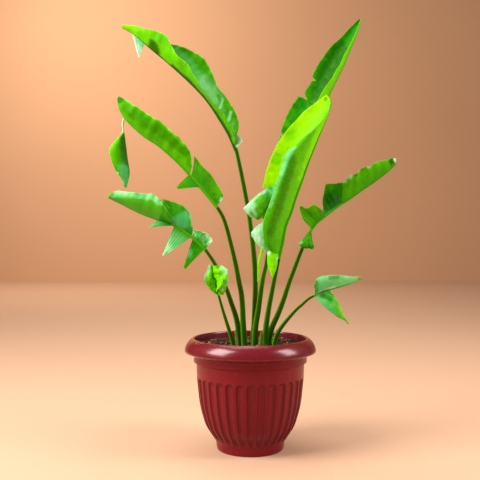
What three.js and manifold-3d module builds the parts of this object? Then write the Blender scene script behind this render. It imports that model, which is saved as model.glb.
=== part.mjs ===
// Potted travelers palm: eight torn, folded leaves in a fan, rooted in soil in a fluted plastic pot.
// Millimetres, +Z up. The origin is the centre of the pot's underside, and the fan spreads along X.

import * as THREE from 'three';
import { mergeVertices } from 'three/addons/utils/BufferGeometryUtils.js';
import Module from 'manifold-3d';

const wasm = await Module();
wasm.setup();

// Pot
const POT_BASE = 4;            // thickness of the pot's bottom
const FLUTE_COUNT = 32;
const SIDES_PER_FLUTE = 2;
const FLUTE_DEPTH = 1.6;
const FLUTE_LOW = 11;          // height where the flutes start, above the foot
const FLUTE_HIGH = 110;        // height of their rounded tops
const FLUTE_FADE = 9;          // height over which a flute reaches its full depth
const DRAIN_COUNT = 4;
const DRAIN_RADIUS = 4.5;
const DRAIN_PITCH_RADIUS = 30;
const DRAIN_SIDES = 12;
const DRILL_LENGTH = 3 * POT_BASE;
const SOIL_SIDES = 32;

// Fits
const GAP = 0.3;               // clearance between pieces that touch
const STEM_END_GAP = 0.5;      // clearance between a stem's end and its blade

// Leaves
const BLADE_THICKNESS = 1.0;
const RIB_TIP_RADIUS = 0.8;
const STEM_SIDES = 8;
const STEM_STEPS = 9;
const RIB_SIDES = 5;
const RIB_STEPS = 8;
const SHEET_ACROSS = 2;        // faces from the rib to the margin
const MM_PER_SHEET_STEP = 17;  // length of one face along the margin
const SHEATH_STEPS = 4;

// Small numbers
const MERGE_DISTANCE = 1e-4;   // vertices closer than this are one
const SAME_RADIUS = 0.01;      // a ring this close to the wall's radius is on the wall
const SHARE_NUDGE = 0.01;      // share of a sheet's length over which its slope is taken
const TURN_NUDGE = 1e-6;       // keeps a vertex on a flute's edge out of the flute before

// Colours
const POT_RED = 0x7a1f2b;
const SOIL_BROWN = 0x4a3527;
const STEM_GREEN = 0x2f5a12;
const SHEATH_TAN = 0x7d7032;
const YOUNG_GREEN = 0x74b81a;
const LEAF_GREEN = 0x3f8a17;
const DEEP_GREEN = 0x2c7414;

// Half section of the pot as [radius, height]: underside, outside wall, rolled rim, inside wall, floor.
const POT_OUTSIDE = [
  [0, 0], [49.4, 0], [50.9, 2.2], [52.5, 12.4], [55.6, 17.6], [61.6, 26.6], [67.5, 36], [71.6, 48],
  [76.6, 68], [80, 96], [81.3, 110.7], [82, 127.5],
];
const POT_RIM = [
  [82.3, 131], [86, 133], [86, 142], [97.5, 147.4], [99.6, 147.8], [100, 149.4], [98.8, 152.4],
  [96.6, 157.2], [92.8, 162.8], [88.8, 167], [86.8, 168], [85, 167.2],
];
const POT_INSIDE = [
  [84.6, 152], [79, 128], [77, 105], [67.6, 48], [58.4, 28], [48.6, 13], [45.4, POT_BASE],
  [0, POT_BASE],
];

// Half section of the soil, inside the pot's wall, with a low ring round the stems.
const SOIL_SIDE = [
  [0, POT_BASE + GAP], [44.9, POT_BASE + GAP], [48, 13.2], [57.8, 28.2], [67, 48.2], [76.4, 105.1],
  [78.4, 128.1], [84, 151.8],
];
const SOIL_TOP = [[84.2, 155], [72, 158.5], [28, 156], [0, 156]];

// Every leaf has a stem from below the soil to the blade, a rib that carries on to the tip, and lobes.
// A lobe is the sheet between a stretch of the rib, as a share of its length, and a margin (rim).
// belly bows the sheet between the two. A strip hangs from an edge of its own instead of the rib.
const LEAVES = [
  {
    name: 'leaf_1',
    color: YOUNG_GREEN,
    stemRadius: [3.8, 1.9],
    stem: [[-24, -5, 132], [-26, -6, 157], [-31, -7, 176], [-37, -8, 195], [-43, -9, 215], [-48, -10, 233]],
    rib: [[-48, -10, 233], [-50, -11, 247], [-54, -12, 263], [-59, -11, 280]],
    lobes: [
      {
        root: [0.02, 0.98],
        rim: [[-57, -16, 239], [-65, -21, 249], [-70, -23, 258], [-66, -20, 271], [-61, -13, 283]],
        belly: [0, -5, 0],
      },
      {
        root: [0.02, 0.95],
        rim: [[-42, -17, 237], [-37, -22, 247], [-34, -20, 259], [-37, -17, 269], [-44, -12, 278]],
        belly: [0, -7, 0],
      },
      {
        root: [0.15, 0.62],
        rim: [[-52, -27, 240], [-45, -30, 247], [-41, -28, 256], [-48, -26, 262]],
        belly: [0, -6, 0],
      },
    ],
  },
  {
    name: 'leaf_2',
    color: LEAF_GREEN,
    stemRadius: [5, 2.6],
    stem: [
      [-13, 5, 132], [-15, 5, 157], [-18, 5, 179], [-22, 5, 199], [-29, 5, 220], [-36, 6, 240],
      [-50, 7, 272], [-58, 8, 286], [-69, 8, 302],
    ],
    rib: [
      [-69, 8, 302], [-91, 8, 322], [-119, 10, 340], [-143, 12, 348], [-172, 14, 359], [-203, 16, 374],
      [-220, 16, 382],
    ],
    lobes: [
      {
        root: [0.35, 0.99],
        rim: [
          [-121, -6, 350], [-127, -12, 363], [-136, -12, 377], [-146, -6, 386], [-165, -2, 389],
          [-190, 2, 391], [-204, 8, 393], [-220, 13, 387],
        ],
        belly: [0, -10, -1],
      },
      {
        root: [0.37, 0.98],
        rim: [
          [-125, 30, 367], [-137, 32, 378], [-154, 32, 384], [-174, 31, 387], [-199, 27, 390],
          [-217, 20, 388],
        ],
        belly: [0, 9, 0],
      },
      {
        root: [0.17, 0.36],
        rim: [
          [-89, 20, 333], [-92, 28, 351], [-97, 32, 363], [-107, 34, 372], [-123, 34, 378],
          [-138, 32, 382],
        ],
        belly: [0, 7, 0],
      },
      { root: [0.36, 0.5], rim: [[-149, -12, 337], [-154, -13, 338]], belly: [0, -4, 0] },
      { root: [0.17, 0.35], rim: [[-129, -16, 294], [-133, -16, 293]], belly: [0, -5, 0] },
      { root: [0.01, 0.15], rim: [[-99, -12, 273], [-102, -12, 273]], belly: [0, -5, 0] },
      {
        root: [0.01, 0.16],
        rim: [[-60, 4, 309], [-57, 0, 317], [-62, -2, 325], [-75, 4, 332], [-87, 12, 334]],
        belly: [0, 6, 2],
      },
    ],
  },
  {
    name: 'leaf_3',
    color: LEAF_GREEN,
    stemRadius: [5, 2.8],
    stem: [
      [-8, -6, 132], [-9, -6, 157], [-11, -7, 191], [-13, -8, 231], [-17, -9, 253], [-27, -10, 300],
      [-41, -12, 350], [-50, -13, 366],
    ],
    rib: [
      [-50, -13, 366], [-75, -15, 396], [-90, -17, 413], [-109, -18, 433], [-139, -20, 459], [-158, -21, 471],
      [-177, -22, 487], [-188, -23, 499], [-196, -24, 513], [-199, -24, 528],
    ],
    lobes: [
      {
        root: [0.28, 0.98],
        rim: [
          [-87, -22, 428], [-89, -26, 445], [-97, -30, 461], [-119, -34, 480], [-132, -35, 492],
          [-148, -36, 501], [-173, -33, 518], [-187, -29, 527], [-198, -27, 532],
        ],
        belly: [0, -7, 0],
      },
      {
        root: [0.28, 0.97],
        rim: [
          [-90, 0, 432], [-94, 6, 447], [-103, 8, 461], [-127, 8, 483], [-141, 7, 493], [-157, 5, 504],
          [-175, 0, 516], [-189, -8, 525], [-198, -19, 530],
        ],
        belly: [0, 7, 0],
      },
      {
        root: [0.02, 0.27],
        rim: [
          [-44, 0, 376], [-41, 4, 383], [-46, 8, 396], [-53, 10, 407], [-61, 10, 419], [-72, 9, 430],
          [-86, 6, 447],
        ],
        belly: [0, 6, 0],
      },
      { root: [0.18, 0.29], rim: [[-107, -32, 393], [-111, -32, 394]], belly: [0, -4, 0] },
      {
        edge: [
          [-188, -23, 499], [-189, -26, 488], [-188, -27, 478], [-186, -27, 462], [-183, -26, 437],
          [-180, -27, 417], [-183, -27, 401], [-185, -27, 395],
        ],
        rim: [
          [-191, -24, 498], [-192, -27, 488], [-191, -28, 478], [-203, -32, 462], [-209, -33, 451],
          [-206, -33, 433], [-201, -31, 421], [-191, -29, 406], [-188, -28, 396],
        ],
        belly: [0, -6, 0],
      },
    ],
  },
  {
    name: 'leaf_4',
    color: YOUNG_GREEN,
    stemRadius: [5, 3],
    stem: [
      [5, 8, 132], [5, 8, 157], [7, 10, 200], [8, 11, 249], [6, 13, 290], [-1, 17, 351], [-7, 19, 386],
      [-14, 21, 422], [-21, 23, 455],
    ],
    rib: [
      [-21, 23, 455], [-33, 24, 482], [-48, 25, 507], [-67, 27, 535], [-90, 29, 560], [-133, 32, 599],
      [-154, 33, 616], [-169, 34, 629], [-185, 34, 642], [-202, 34, 651],
    ],
    lobes: [
      {
        root: [0.04, 0.99],
        rim: [
          [-22, 8, 472], [-25, 4, 483], [-35, 2, 501], [-49, 1, 520], [-65, 1, 537], [-84, 2, 565],
          [-95, 4, 585], [-112, 8, 601], [-123, 14, 620], [-130, 16, 633], [-142, 18, 640],
          [-163, 21, 646], [-182, 26, 652], [-201, 31, 655],
        ],
        belly: [0, -6, 0],
      },
      {
        root: [0.06, 0.78],
        rim: [
          [-20, 36, 484], [-17, 42, 500], [-24, 44, 522], [-33, 46, 538], [-51, 48, 562], [-63, 48, 590],
          [-74, 47, 607], [-89, 46, 616], [-108, 42, 624], [-125, 38, 626],
        ],
        belly: [0, 6, 0],
      },
      { root: [0.84, 0.93], rim: [[-171, 24, 604], [-174, 24, 602]], belly: [0, -4, 0] },
      { root: [0.02, 0.12], rim: [[-17, 15, 464], [-12, 13, 468], [-13, 13, 476]], belly: [2, -3, 0] },
    ],
  },
  {
    name: 'leaf_5',
    color: DEEP_GREEN,
    stemRadius: [5, 2.5],
    stem: [
      [5, -6, 132], [6, -6, 157], [8, -6, 186], [12, -5, 210], [15, -4, 231], [19, -2, 257], [24, 1, 279],
      [28, 4, 302], [37, 9, 330], [51, 14, 363],
    ],
    rib: [
      [51, 14, 363], [67, 19, 401], [84, 24, 443], [100, 28, 484], [114, 31, 519], [126, 33, 548],
      [136, 35, 568], [147, 36, 590], [158, 37, 616], [169, 38, 642], [177, 38, 668],
    ],
    lobes: [
      {
        root: [0.04, 0.53],
        rim: [
          [48, 40, 395], [45, 50, 435], [46, 54, 469], [49, 56, 490], [58, 57, 516], [72, 57, 540],
          [79, 56, 548], [87, 54, 544], [94, 52, 536],
        ],
        belly: [0, 8, 0],
      },
      {
        root: [0.54, 0.98],
        rim: [
          [92, 54, 535], [88, 57, 556], [95, 58, 565], [103, 57, 588], [118, 54, 612], [130, 51, 627],
          [145, 47, 640], [161, 43, 656], [174, 41, 668],
        ],
        belly: [0, 8, 0],
      },
      {
        root: [0.06, 0.97],
        rim: [
          [58, 4, 402], [72, 2, 440], [84, 4, 481], [93, 6, 508], [103, 8, 531], [115, 10, 552],
          [127, 13, 569], [139, 17, 590], [150, 22, 612], [165, 30, 641], [174, 35, 664],
        ],
        belly: [0, -6, 0],
      },
    ],
  },
  {
    name: 'leaf_6',
    color: YOUNG_GREEN,
    stemRadius: [5, 3.2],
    stem: [
      [24, -8, 132], [23, -8, 157], [23, -9, 177], [26, -11, 203], [32, -14, 237], [37, -17, 263],
      [42, -20, 289],
    ],
    rib: [
      [42, -20, 289], [48, -22, 314], [52, -24, 336], [61, -26, 360], [68, -28, 382], [77, -30, 407],
      [85, -32, 430], [95, -33, 455], [104, -34, 477], [115, -34, 503], [119, -34, 520], [116, -33, 531],
    ],
    lobes: [
      {
        root: [0.42, 0.98],
        rim: [
          [18, -4, 397], [24, -5, 422], [30, -6, 440], [42, -8, 465], [53, -9, 481], [66, -11, 495],
          [81, -15, 511], [98, -21, 523], [113, -30, 533],
        ],
        belly: [0, 8, 0],
      },
      {
        root: [0.03, 0.97],
        rim: [
          [27, -34, 301], [21, -42, 311], [18, -47, 324], [18, -50, 343], [28, -53, 372], [40, -54, 409],
          [51, -53, 445], [66, -51, 456], [82, -48, 472], [92, -44, 481], [105, -40, 495], [117, -37, 515],
        ],
        belly: [0, -8, 0],
      },
      {
        edge: [
          [68, -28, 396], [38, -28, 399], [21, -31, 392], [6, -32, 381], [-3, -33, 372], [-11, -34, 364],
        ],
        rim: [
          [57, -25, 352], [31, -28, 352], [22, -31, 349], [10, -33, 346], [5, -33, 348], [-4, -33, 355],
          [-9, -34, 361],
        ],
        belly: [0, -5, 0],
      },
      {
        edge: [[54, -25, 346], [29, -28, 351], [19, -31, 345], [7, -32, 336], [1, -33, 328]],
        rim: [[49, -22, 312], [31, -28, 306], [22, -30, 302], [9, -32, 312], [1, -33, 323]],
        belly: [0, -5, 0],
      },
      {
        edge: [[40, -22, 304], [25, -28, 302], [25, -31, 281], [28, -32, 272], [32, -32, 262]],
        rim: [[47, -21, 302], [42, -26, 294], [40, -30, 282], [38, -32, 273], [34, -32, 263]],
        belly: [0, -4, 0],
      },
      {
        edge: [[42, -22, 320], [17, -28, 316], [15, -30, 302], [11, -31, 287], [10, -31, 256]],
        rim: [[49, -22, 318], [24, -28, 313], [19, -30, 302], [15, -31, 287], [12, -31, 256]],
        belly: [0, -1, 0],
      },
    ],
  },
  {
    name: 'leaf_7',
    color: LEAF_GREEN,
    stemRadius: [5, 2.8],
    stem: [
      [24, 6, 132], [27, 6, 157], [33, 8, 181], [43, 10, 203], [52, 12, 226], [60, 14, 250], [70, 16, 276],
      [80, 18, 302], [90, 20, 325],
    ],
    rib: [
      [90, 20, 325], [101, 20, 341], [123, 22, 359], [138, 23, 370], [154, 24, 380], [174, 25, 394],
      [195, 26, 408], [215, 26, 423], [230, 26, 437],
    ],
    lobes: [
      {
        root: [0.4, 0.98],
        rim: [
          [142, 8, 406], [152, 5, 416], [163, 5, 421], [176, 6, 431], [184, 8, 432], [192, 10, 437],
          [208, 14, 441], [217, 18, 444], [227, 23, 445],
        ],
        belly: [0, -6, 0],
      },
      {
        root: [0.22, 0.42],
        rim: [
          [115, 34, 366], [115, 42, 382], [118, 45, 395], [120, 46, 406], [126, 46, 408], [136, 46, 408],
          [148, 44, 409],
        ],
        belly: [0, 6, 0],
      },
      {
        root: [0.43, 0.97],
        rim: [
          [148, 44, 407], [157, 46, 414], [167, 46, 421], [178, 45, 426], [193, 42, 433], [207, 37, 439],
          [221, 32, 444], [228, 30, 443],
        ],
        belly: [0, 6, 0],
      },
      {
        root: [0.06, 0.22],
        rim: [
          [87, 8, 342], [80, 2, 350], [76, -2, 361], [75, -4, 370], [85, -4, 366], [97, -3, 371],
          [103, 0, 368], [111, 6, 363],
        ],
        belly: [0, -5, 0],
      },
      {
        edge: [[93, 19, 332], [87, 15, 325], [80, 11, 318], [74, 8, 312]],
        rim: [[96, 19, 332], [97, 14, 318], [98, 8, 303], [88, 6, 303], [80, 6, 305], [75, 8, 310]],
        belly: [0, -5, 0],
      },
    ],
  },
  {
    name: 'leaf_8',
    color: LEAF_GREEN,
    stemRadius: [4.2, 2],
    stem: [
      [35, -9, 132], [36, -9, 157], [39, -10, 171], [44, -11, 181], [51, -12, 191], [69, -15, 212],
      [79, -16, 221], [88, -17, 229], [95, -18, 233],
    ],
    rib: [
      [95, -18, 233], [110, -19, 240], [119, -20, 243], [134, -21, 247], [149, -22, 252],
      [167, -22, 259],
    ],
    lobes: [
      {
        root: [0.02, 0.97],
        rim: [
          [95, -28, 242], [94, -34, 252], [97, -37, 260], [108, -38, 264], [120, -38, 266], [135, -36, 265],
          [150, -31, 263], [166, -25, 262],
        ],
        belly: [0, -5, 0],
      },
      {
        root: [0.02, 0.96],
        rim: [
          [98, -6, 240], [100, 2, 250], [105, 5, 256], [114, 6, 260], [127, 5, 261], [140, 1, 260],
          [153, -7, 259], [165, -18, 261],
        ],
        belly: [0, 5, 0],
      },
      {
        edge: [
          [96, -18, 235], [104, -23, 224], [111, -26, 217], [127, -29, 204], [139, -30, 198],
          [145, -30, 192],
        ],
        rim: [[120, -20, 243], [128, -26, 230], [134, -29, 217], [139, -30, 205], [147, -30, 194]],
        belly: [0, -6, 0],
      },
      { root: [0.04, 0.3], rim: [[140, -12, 196], [143, -12, 197]], belly: [3, 4, 3] },
    ],
  },
];

// Short dry sheaths between the stems, each a sheet between its two edges.
const SHEATHS = [
  {
    name: 'sheath_1',
    edge: [[-22, -11, 142], [-22.5, -11, 160], [-24.5, -11, 180]],
    rim: [[-17, -9.5, 142], [-18, -9.5, 160], [-22.5, -10.5, 181]],
  },
  {
    name: 'sheath_2',
    edge: [[12.5, -12, 142], [12, -12, 160], [15.5, -12, 178]],
    rim: [[16.5, -12, 142], [16.8, -12, 160], [17.2, -12.5, 179]],
  },
  {
    name: 'sheath_3',
    edge: [[33, -1, 142], [35, -1, 158], [39.5, -1, 180]],
    rim: [[38, -1, 142], [39.5, -1, 158], [42, -1, 181]],
  },
];
const SHEATH_BELLY = [0, -1.2, 0];

function vector(point) {
  return new THREE.Vector3(...point);
}

function curveThrough(points) {
  return new THREE.CatmullRomCurve3(points.map(vector), false, 'centripetal');
}

function toSolid(geometry) {
  const bare = geometry.clone();
  bare.deleteAttribute('normal');
  bare.deleteAttribute('uv');
  const merged = mergeVertices(bare, MERGE_DISTANCE);
  const mesh = new wasm.Mesh({
    numProp: 3,
    vertProperties: new Float32Array(merged.attributes.position.array),
    triVerts: new Uint32Array(merged.index.array),
  });
  return new wasm.Manifold(mesh);
}

function toGeometry(solid) {
  const mesh = solid.getMesh();
  const geometry = new THREE.BufferGeometry();
  geometry.setAttribute('position', new THREE.BufferAttribute(new Float32Array(mesh.vertProperties), 3));
  geometry.setIndex(new THREE.BufferAttribute(new Uint32Array(mesh.triVerts), 1));
  geometry.computeVertexNormals();
  return geometry;
}

function moveVertices(geometry, place) {
  const position = geometry.attributes.position;
  const point = new THREE.Vector3();
  for (let i = 0; i < position.count; i += 1) {
    point.fromBufferAttribute(position, i);
    const moved = place(point);
    position.setXYZ(i, moved.x, moved.y, moved.z);
  }
  return geometry;
}

// A round rod along a curve, from one share of its length to another, tapering between two radii.
function rod(curve, from, to, radii, sides, steps) {
  const cylinder = new THREE.CylinderGeometry(1, 1, 1, sides, steps);
  const across = new THREE.Vector3(0, 1, 0);
  return moveVertices(cylinder, (point) => {
    const share = from + (to - from) * (point.y + 0.5);
    const centre = curve.getPointAt(share);
    const ahead = curve.getTangentAt(share);
    const side = new THREE.Vector3().crossVectors(ahead, across).normalize();
    const depth = new THREE.Vector3().crossVectors(side, ahead);
    const radius = THREE.MathUtils.lerp(radii[0], radii[1], point.y + 0.5);
    return centre.addScaledVector(side, point.x * radius).addScaledVector(depth, point.z * radius);
  });
}

// A thin sheet from an edge to a rim, both functions of a share of their length, bowed by belly.
function sheet(edgeAt, rimAt, belly, steps) {
  const bow = vector(belly);
  let widest = 0;
  for (let i = 0; i <= steps; i += 1) {
    widest = Math.max(widest, edgeAt(i / steps).distanceTo(rimAt(i / steps)));
  }
  const surface = (along, across) => {
    const edge = edgeAt(along);
    const rim = rimAt(along);
    const width = edge.distanceTo(rim) / widest;
    return edge.lerp(rim, across).addScaledVector(bow, Math.sin(Math.PI * across) * width);
  };
  const box = new THREE.BoxGeometry(1, 1, 1, steps, SHEET_ACROSS, 1);
  return moveVertices(box, (point) => {
    const along = point.x + 0.5;
    const across = point.y + 0.5;
    const before = surface(Math.max(along - SHARE_NUDGE, 0), across);
    const after = surface(Math.min(along + SHARE_NUDGE, 1), across);
    const inner = surface(along, Math.max(across - SHARE_NUDGE, 0));
    const outer = surface(along, Math.min(across + SHARE_NUDGE, 1));
    const normal = after.sub(before).cross(outer.sub(inner)).normalize();
    return surface(along, across).addScaledVector(normal, point.z * BLADE_THICKNESS);
  });
}

function lobeSolid(lobe, rib) {
  const rim = curveThrough(lobe.rim);
  let edgeAt;
  if (lobe.edge) {
    const edge = curveThrough(lobe.edge);
    edgeAt = (share) => edge.getPointAt(share);
  } else {
    const [low, high] = lobe.root;
    edgeAt = (share) => rib.getPointAt(THREE.MathUtils.lerp(low, high, share));
  }
  const steps = Math.max(3, Math.round(rim.getLength() / MM_PER_SHEET_STEP));
  return toSolid(sheet(edgeAt, (share) => rim.getPointAt(share), lobe.belly, steps));
}

function stemSolid(leaf, clearance) {
  const curve = curveThrough(leaf.stem);
  const end = 1 - (STEM_END_GAP - clearance) / curve.getLength();
  const radii = leaf.stemRadius.map((radius) => radius + clearance);
  return toSolid(rod(curve, 0, end, radii, STEM_SIDES, STEM_STEPS));
}

function largestBody(solid) {
  const bodies = solid.decompose();
  bodies.sort((a, b) => b.volume() - a.volume());
  return bodies[0];
}

function bladeSolid(leaf, stemSpaces) {
  const rib = curveThrough(leaf.rib);
  const ribRadii = [leaf.stemRadius[1], RIB_TIP_RADIUS];
  let blade = toSolid(rod(rib, 0, 1, ribRadii, RIB_SIDES, RIB_STEPS));
  for (const lobe of leaf.lobes) {
    blade = blade.add(lobeSolid(lobe, rib));
  }
  for (const space of stemSpaces) {
    blade = blade.subtract(space);
  }
  return largestBody(blade);
}

function lathe(profile, sides) {
  const points = profile.map(([radius, height]) => new THREE.Vector2(radius, height));
  return new THREE.LatheGeometry(points, sides).rotateX(Math.PI / 2);
}

// 0 on the lands and outside the fluted band, 1 in the middle of a flute.
function fluteShare(angle, height) {
  const rise = THREE.MathUtils.smoothstep(height, FLUTE_LOW, FLUTE_LOW + FLUTE_FADE);
  const fall = 1 - THREE.MathUtils.smoothstep(height, FLUTE_HIGH - FLUTE_FADE, FLUTE_HIGH);
  const turn = (angle / (2 * Math.PI)) * FLUTE_COUNT;
  const withinFlute = turn - Math.floor(turn + TURN_NUDGE);
  return Math.min(rise, fall) * Math.sin(Math.PI * withinFlute);
}

function potSolid() {
  const profile = [...POT_OUTSIDE, ...POT_RIM, ...POT_INSIDE];
  const geometry = lathe(profile, FLUTE_COUNT * SIDES_PER_FLUTE);
  const outerWall = new Map(POT_OUTSIDE.map(([radius, height]) => [height, radius]));
  const fluted = moveVertices(geometry, (point) => {
    const radius = Math.hypot(point.x, point.y);
    const wall = outerWall.get(Number(point.z.toFixed(3)));
    if (wall === undefined || Math.abs(wall - radius) > SAME_RADIUS || radius === 0) {
      return point;
    }
    const angle = Math.atan2(point.y, point.x) + Math.PI;
    const cut = FLUTE_DEPTH * fluteShare(angle, point.z);
    const scale = (radius - cut) / radius;
    return new THREE.Vector3(point.x * scale, point.y * scale, point.z);
  });
  let pot = toSolid(fluted);
  for (let i = 0; i < DRAIN_COUNT; i += 1) {
    const angle = ((i + 0.5) / DRAIN_COUNT) * 2 * Math.PI;
    const drill = new THREE.CylinderGeometry(DRAIN_RADIUS, DRAIN_RADIUS, DRILL_LENGTH, DRAIN_SIDES);
    drill.rotateX(Math.PI / 2);
    drill.translate(DRAIN_PITCH_RADIUS * Math.cos(angle), DRAIN_PITCH_RADIUS * Math.sin(angle), 0);
    pot = pot.subtract(toSolid(drill));
  }
  return pot;
}

function sheathSheet(sheath) {
  const edge = curveThrough(sheath.edge);
  const rim = curveThrough(sheath.rim);
  const edgeAt = (share) => edge.getPointAt(share);
  const rimAt = (share) => rim.getPointAt(share);
  return sheet(edgeAt, rimAt, SHEATH_BELLY, SHEATH_STEPS);
}

function sheathSocket(sheath) {
  const flat = sheathSheet(sheath);
  flat.computeBoundingBox();
  const space = flat.boundingBox.expandByScalar(GAP);
  const size = space.getSize(new THREE.Vector3());
  const middle = space.getCenter(new THREE.Vector3());
  const socket = new THREE.BoxGeometry(size.x, size.y, size.z);
  return toSolid(socket.translate(middle.x, middle.y, middle.z));
}

const palm = new THREE.Group();

function addPiece(name, solid, color, roughness) {
  const material = new THREE.MeshStandardMaterial({ color, roughness, metalness: 0 });
  const mesh = new THREE.Mesh(toGeometry(solid), material);
  mesh.name = name;
  palm.add(mesh);
}

addPiece('pot', potSolid(), POT_RED, 0.3);

const stemSpaces = LEAVES.map((leaf) => stemSolid(leaf, GAP));
let soil = toSolid(lathe([...SOIL_SIDE, ...SOIL_TOP], SOIL_SIDES));
for (const space of stemSpaces) {
  soil = soil.subtract(space);
}
for (const sheath of SHEATHS) {
  soil = soil.subtract(sheathSocket(sheath));
}
addPiece('soil', largestBody(soil), SOIL_BROWN, 1);

for (const sheath of SHEATHS) {
  addPiece(sheath.name, toSolid(sheathSheet(sheath)), SHEATH_TAN, 0.7);
}

for (const leaf of LEAVES) {
  addPiece(`${leaf.name}_stem`, stemSolid(leaf, 0), STEM_GREEN, 0.45);
  addPiece(`${leaf.name}_blade`, bladeSolid(leaf, stemSpaces), leaf.color, 0.35);
}

export default palm;
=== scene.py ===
# Potted travelers palm: eight torn, folded leaves in a fan, rooted in soil in a fluted plastic pot.
# Metres, +Z up, in the CAD model's frame. The fan spreads along X and is seen from -Y.

import math

import bmesh
import bpy
import numpy as np
from mathutils import Matrix, Vector, noise


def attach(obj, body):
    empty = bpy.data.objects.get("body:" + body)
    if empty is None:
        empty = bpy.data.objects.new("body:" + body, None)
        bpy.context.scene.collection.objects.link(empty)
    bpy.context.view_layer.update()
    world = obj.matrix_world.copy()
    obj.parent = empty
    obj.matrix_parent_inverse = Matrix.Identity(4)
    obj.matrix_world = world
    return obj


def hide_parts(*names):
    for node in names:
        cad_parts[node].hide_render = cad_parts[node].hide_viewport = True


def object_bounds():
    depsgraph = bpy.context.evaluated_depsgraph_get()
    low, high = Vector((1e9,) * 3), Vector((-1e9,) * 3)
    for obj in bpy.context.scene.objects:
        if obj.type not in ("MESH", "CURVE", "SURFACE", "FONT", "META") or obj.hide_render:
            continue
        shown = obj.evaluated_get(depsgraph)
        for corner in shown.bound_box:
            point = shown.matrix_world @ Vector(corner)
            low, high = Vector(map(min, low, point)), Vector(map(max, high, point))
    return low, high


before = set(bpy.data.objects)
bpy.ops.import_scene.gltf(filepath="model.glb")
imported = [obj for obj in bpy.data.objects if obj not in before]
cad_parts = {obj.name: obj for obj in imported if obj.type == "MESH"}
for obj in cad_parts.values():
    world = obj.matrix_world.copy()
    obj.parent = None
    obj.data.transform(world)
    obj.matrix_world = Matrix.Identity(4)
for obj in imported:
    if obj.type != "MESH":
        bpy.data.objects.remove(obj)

cad_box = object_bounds()

MM = 0.001
TAU = 2 * math.pi
MERGE_DISTANCE = 1e-6        # metres

# Sizes are in millimetres unless a comment says otherwise.

# Pot
POT_BASE = 4                 # thickness of the pot's bottom
FLOOR_RINGS = (20, 25, 36, 42)   # radii of the rings on the bottom, clear of the drain holes
UNDERSIDE_EDGE = 49
FLUTE_COUNT = 32
SIDES_PER_FLUTE = 14
FLUTE_DEPTH = 3.2
FLUTE_LOW = 12
FLUTE_HIGH = 111
FLUTE_SHARE = 0.41           # half of a flute's width, as a share of the pitch
FLUTE_ROUNDNESS = 0.42       # lower is a boxier scoop with steeper sides
FLUTE_FADE = 16              # height over which a flute's lower end runs out
WALL_TOLERANCE = 0.5         # a ring this close to the wall's radius is on the wall
PROFILE_STEP = 1.25          # spacing of the rings on the pot's wall and lip
INSIDE_STEP = 5.0            # and on its inside
CORNER_SHARES = (0.0, 0.06, 0.5, 0.94)   # where a straight has rings, most of them near its ends
GLOSS_HEIGHTS = (0.138, 0.146)   # metres: the pot is satin below these and glossy above
POT_CREASE = 32              # degrees: sharper corners than this stay crisp
DRAIN_COUNT = 4
DRAIN_RADIUS = 4.5
DRAIN_PITCH_RADIUS = 30
DRAIN_SIDES = 24
DRILL_LENGTH = 4 * POT_BASE

# Soil
SOIL_RADIUS = 84.3
SOIL_RINGS = 60
SOIL_SIDES = 160
SOIL_BOTTOM = 150
SOIL_LEVEL = 158             # of the flat top that is then shaped
SOIL_TAPER = 0.9             # the bottom is narrower by this on each side
SOIL_RISE = [(0, 156.0), (28, 156.4), (72, 158.2), (SOIL_RADIUS, 155.5)]   # (radius, height)
SOIL_TONE = 0.1              # crumbs have tones from 0, dark, to 1, dry and pale
LUMP_HEIGHT = 1.1
LUMP_SCALE = 0.11
GRAIN_HEIGHT = 0.45
GRAIN_SCALE = 0.55
CRUMB_COUNT = 1900
CRUMB_MARGIN = 3             # crumbs keep this far from the soil's edge
CRUMB_SMALLEST = 0.6
CRUMB_SPREAD = 2.4           # the largest are this much larger
CRUMB_RISE = 0.25            # a crumb's middle is above the soil by this share of its size
CRUMB_CREASE = 20
CRUMB_SEED = 11

# Leaves
BLADE_THICKNESS = 0.5
RIB_TIP_RADIUS = 0.5
STEM_SIDES = 28
STEM_STEP = 2.5
STEM_CHANNEL = 0.22          # depth of the channel down a stem's front, as a share of its radius
RIB_SIDES = 14
RIB_CHANNEL = 0.1
CHANNEL_WIDTH = 0.55         # radians
SHEET_STEP = 1.2             # spacing of a sheet's rows along the margin
ACROSS_STEP = 1.8            # and of its columns from rib to margin
FEWEST_FACES = 6             # along a sheet and across it
VEIN_PERIOD = 1.7
CRUMPLE_SIZE = 8.0
TOOTH_SIZE = 7.0             # spacing of the teeth on a ragged margin
LONG_WAVE = 34               # lengths of the two waves along a margin
SHORT_WAVE = 13
SHORT_WAVE_SHARE = 0.45      # height of the short one, as a share of the long one's
PLEAT_DRIFT = 0.9            # radians that the pleats' spacing wanders by
PLEAT_DRIFT_LENGTH = 17
STRIP_TURN = 2.4             # spread of the turns of the strips between slits
CURL_START = 0.7             # share of the way across where a curl starts

# Where a lobe states none of its own
PLEATS = (9.0, 0.12)
RAGGED = 0.008
WAVE = 0.8
CRUMPLE = 0.15

# Strokes of colour on a blade: its own mottling, painted highlights and painted shade
STROKE_CORE = 0.25           # share of a stroke's radius that has its full strength
STROKE_WOBBLE = 0.15         # unevenness of its edge, as a share of its radius
DEPTH_SHARE = 0.3            # how much a distance along Y counts
TINT_CRUMPLE_SCALE = 0.7


def linear(red, green, blue):
    """A colour given as 0-255 screen values, as linear light."""
    parts = [value / 255 for value in (red, green, blue)]
    return tuple(p / 12.92 if p <= 0.04045 else ((p + 0.055) / 1.055) ** 2.4 for p in parts)


# Leaf greens. JADE, TEAL_SHEEN, SAGE, PALE and WHITE_GREEN are painted sheen, highlights and glints; DARK and
# OLIVE are painted shade in hollows, folds and under curls.
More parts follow.
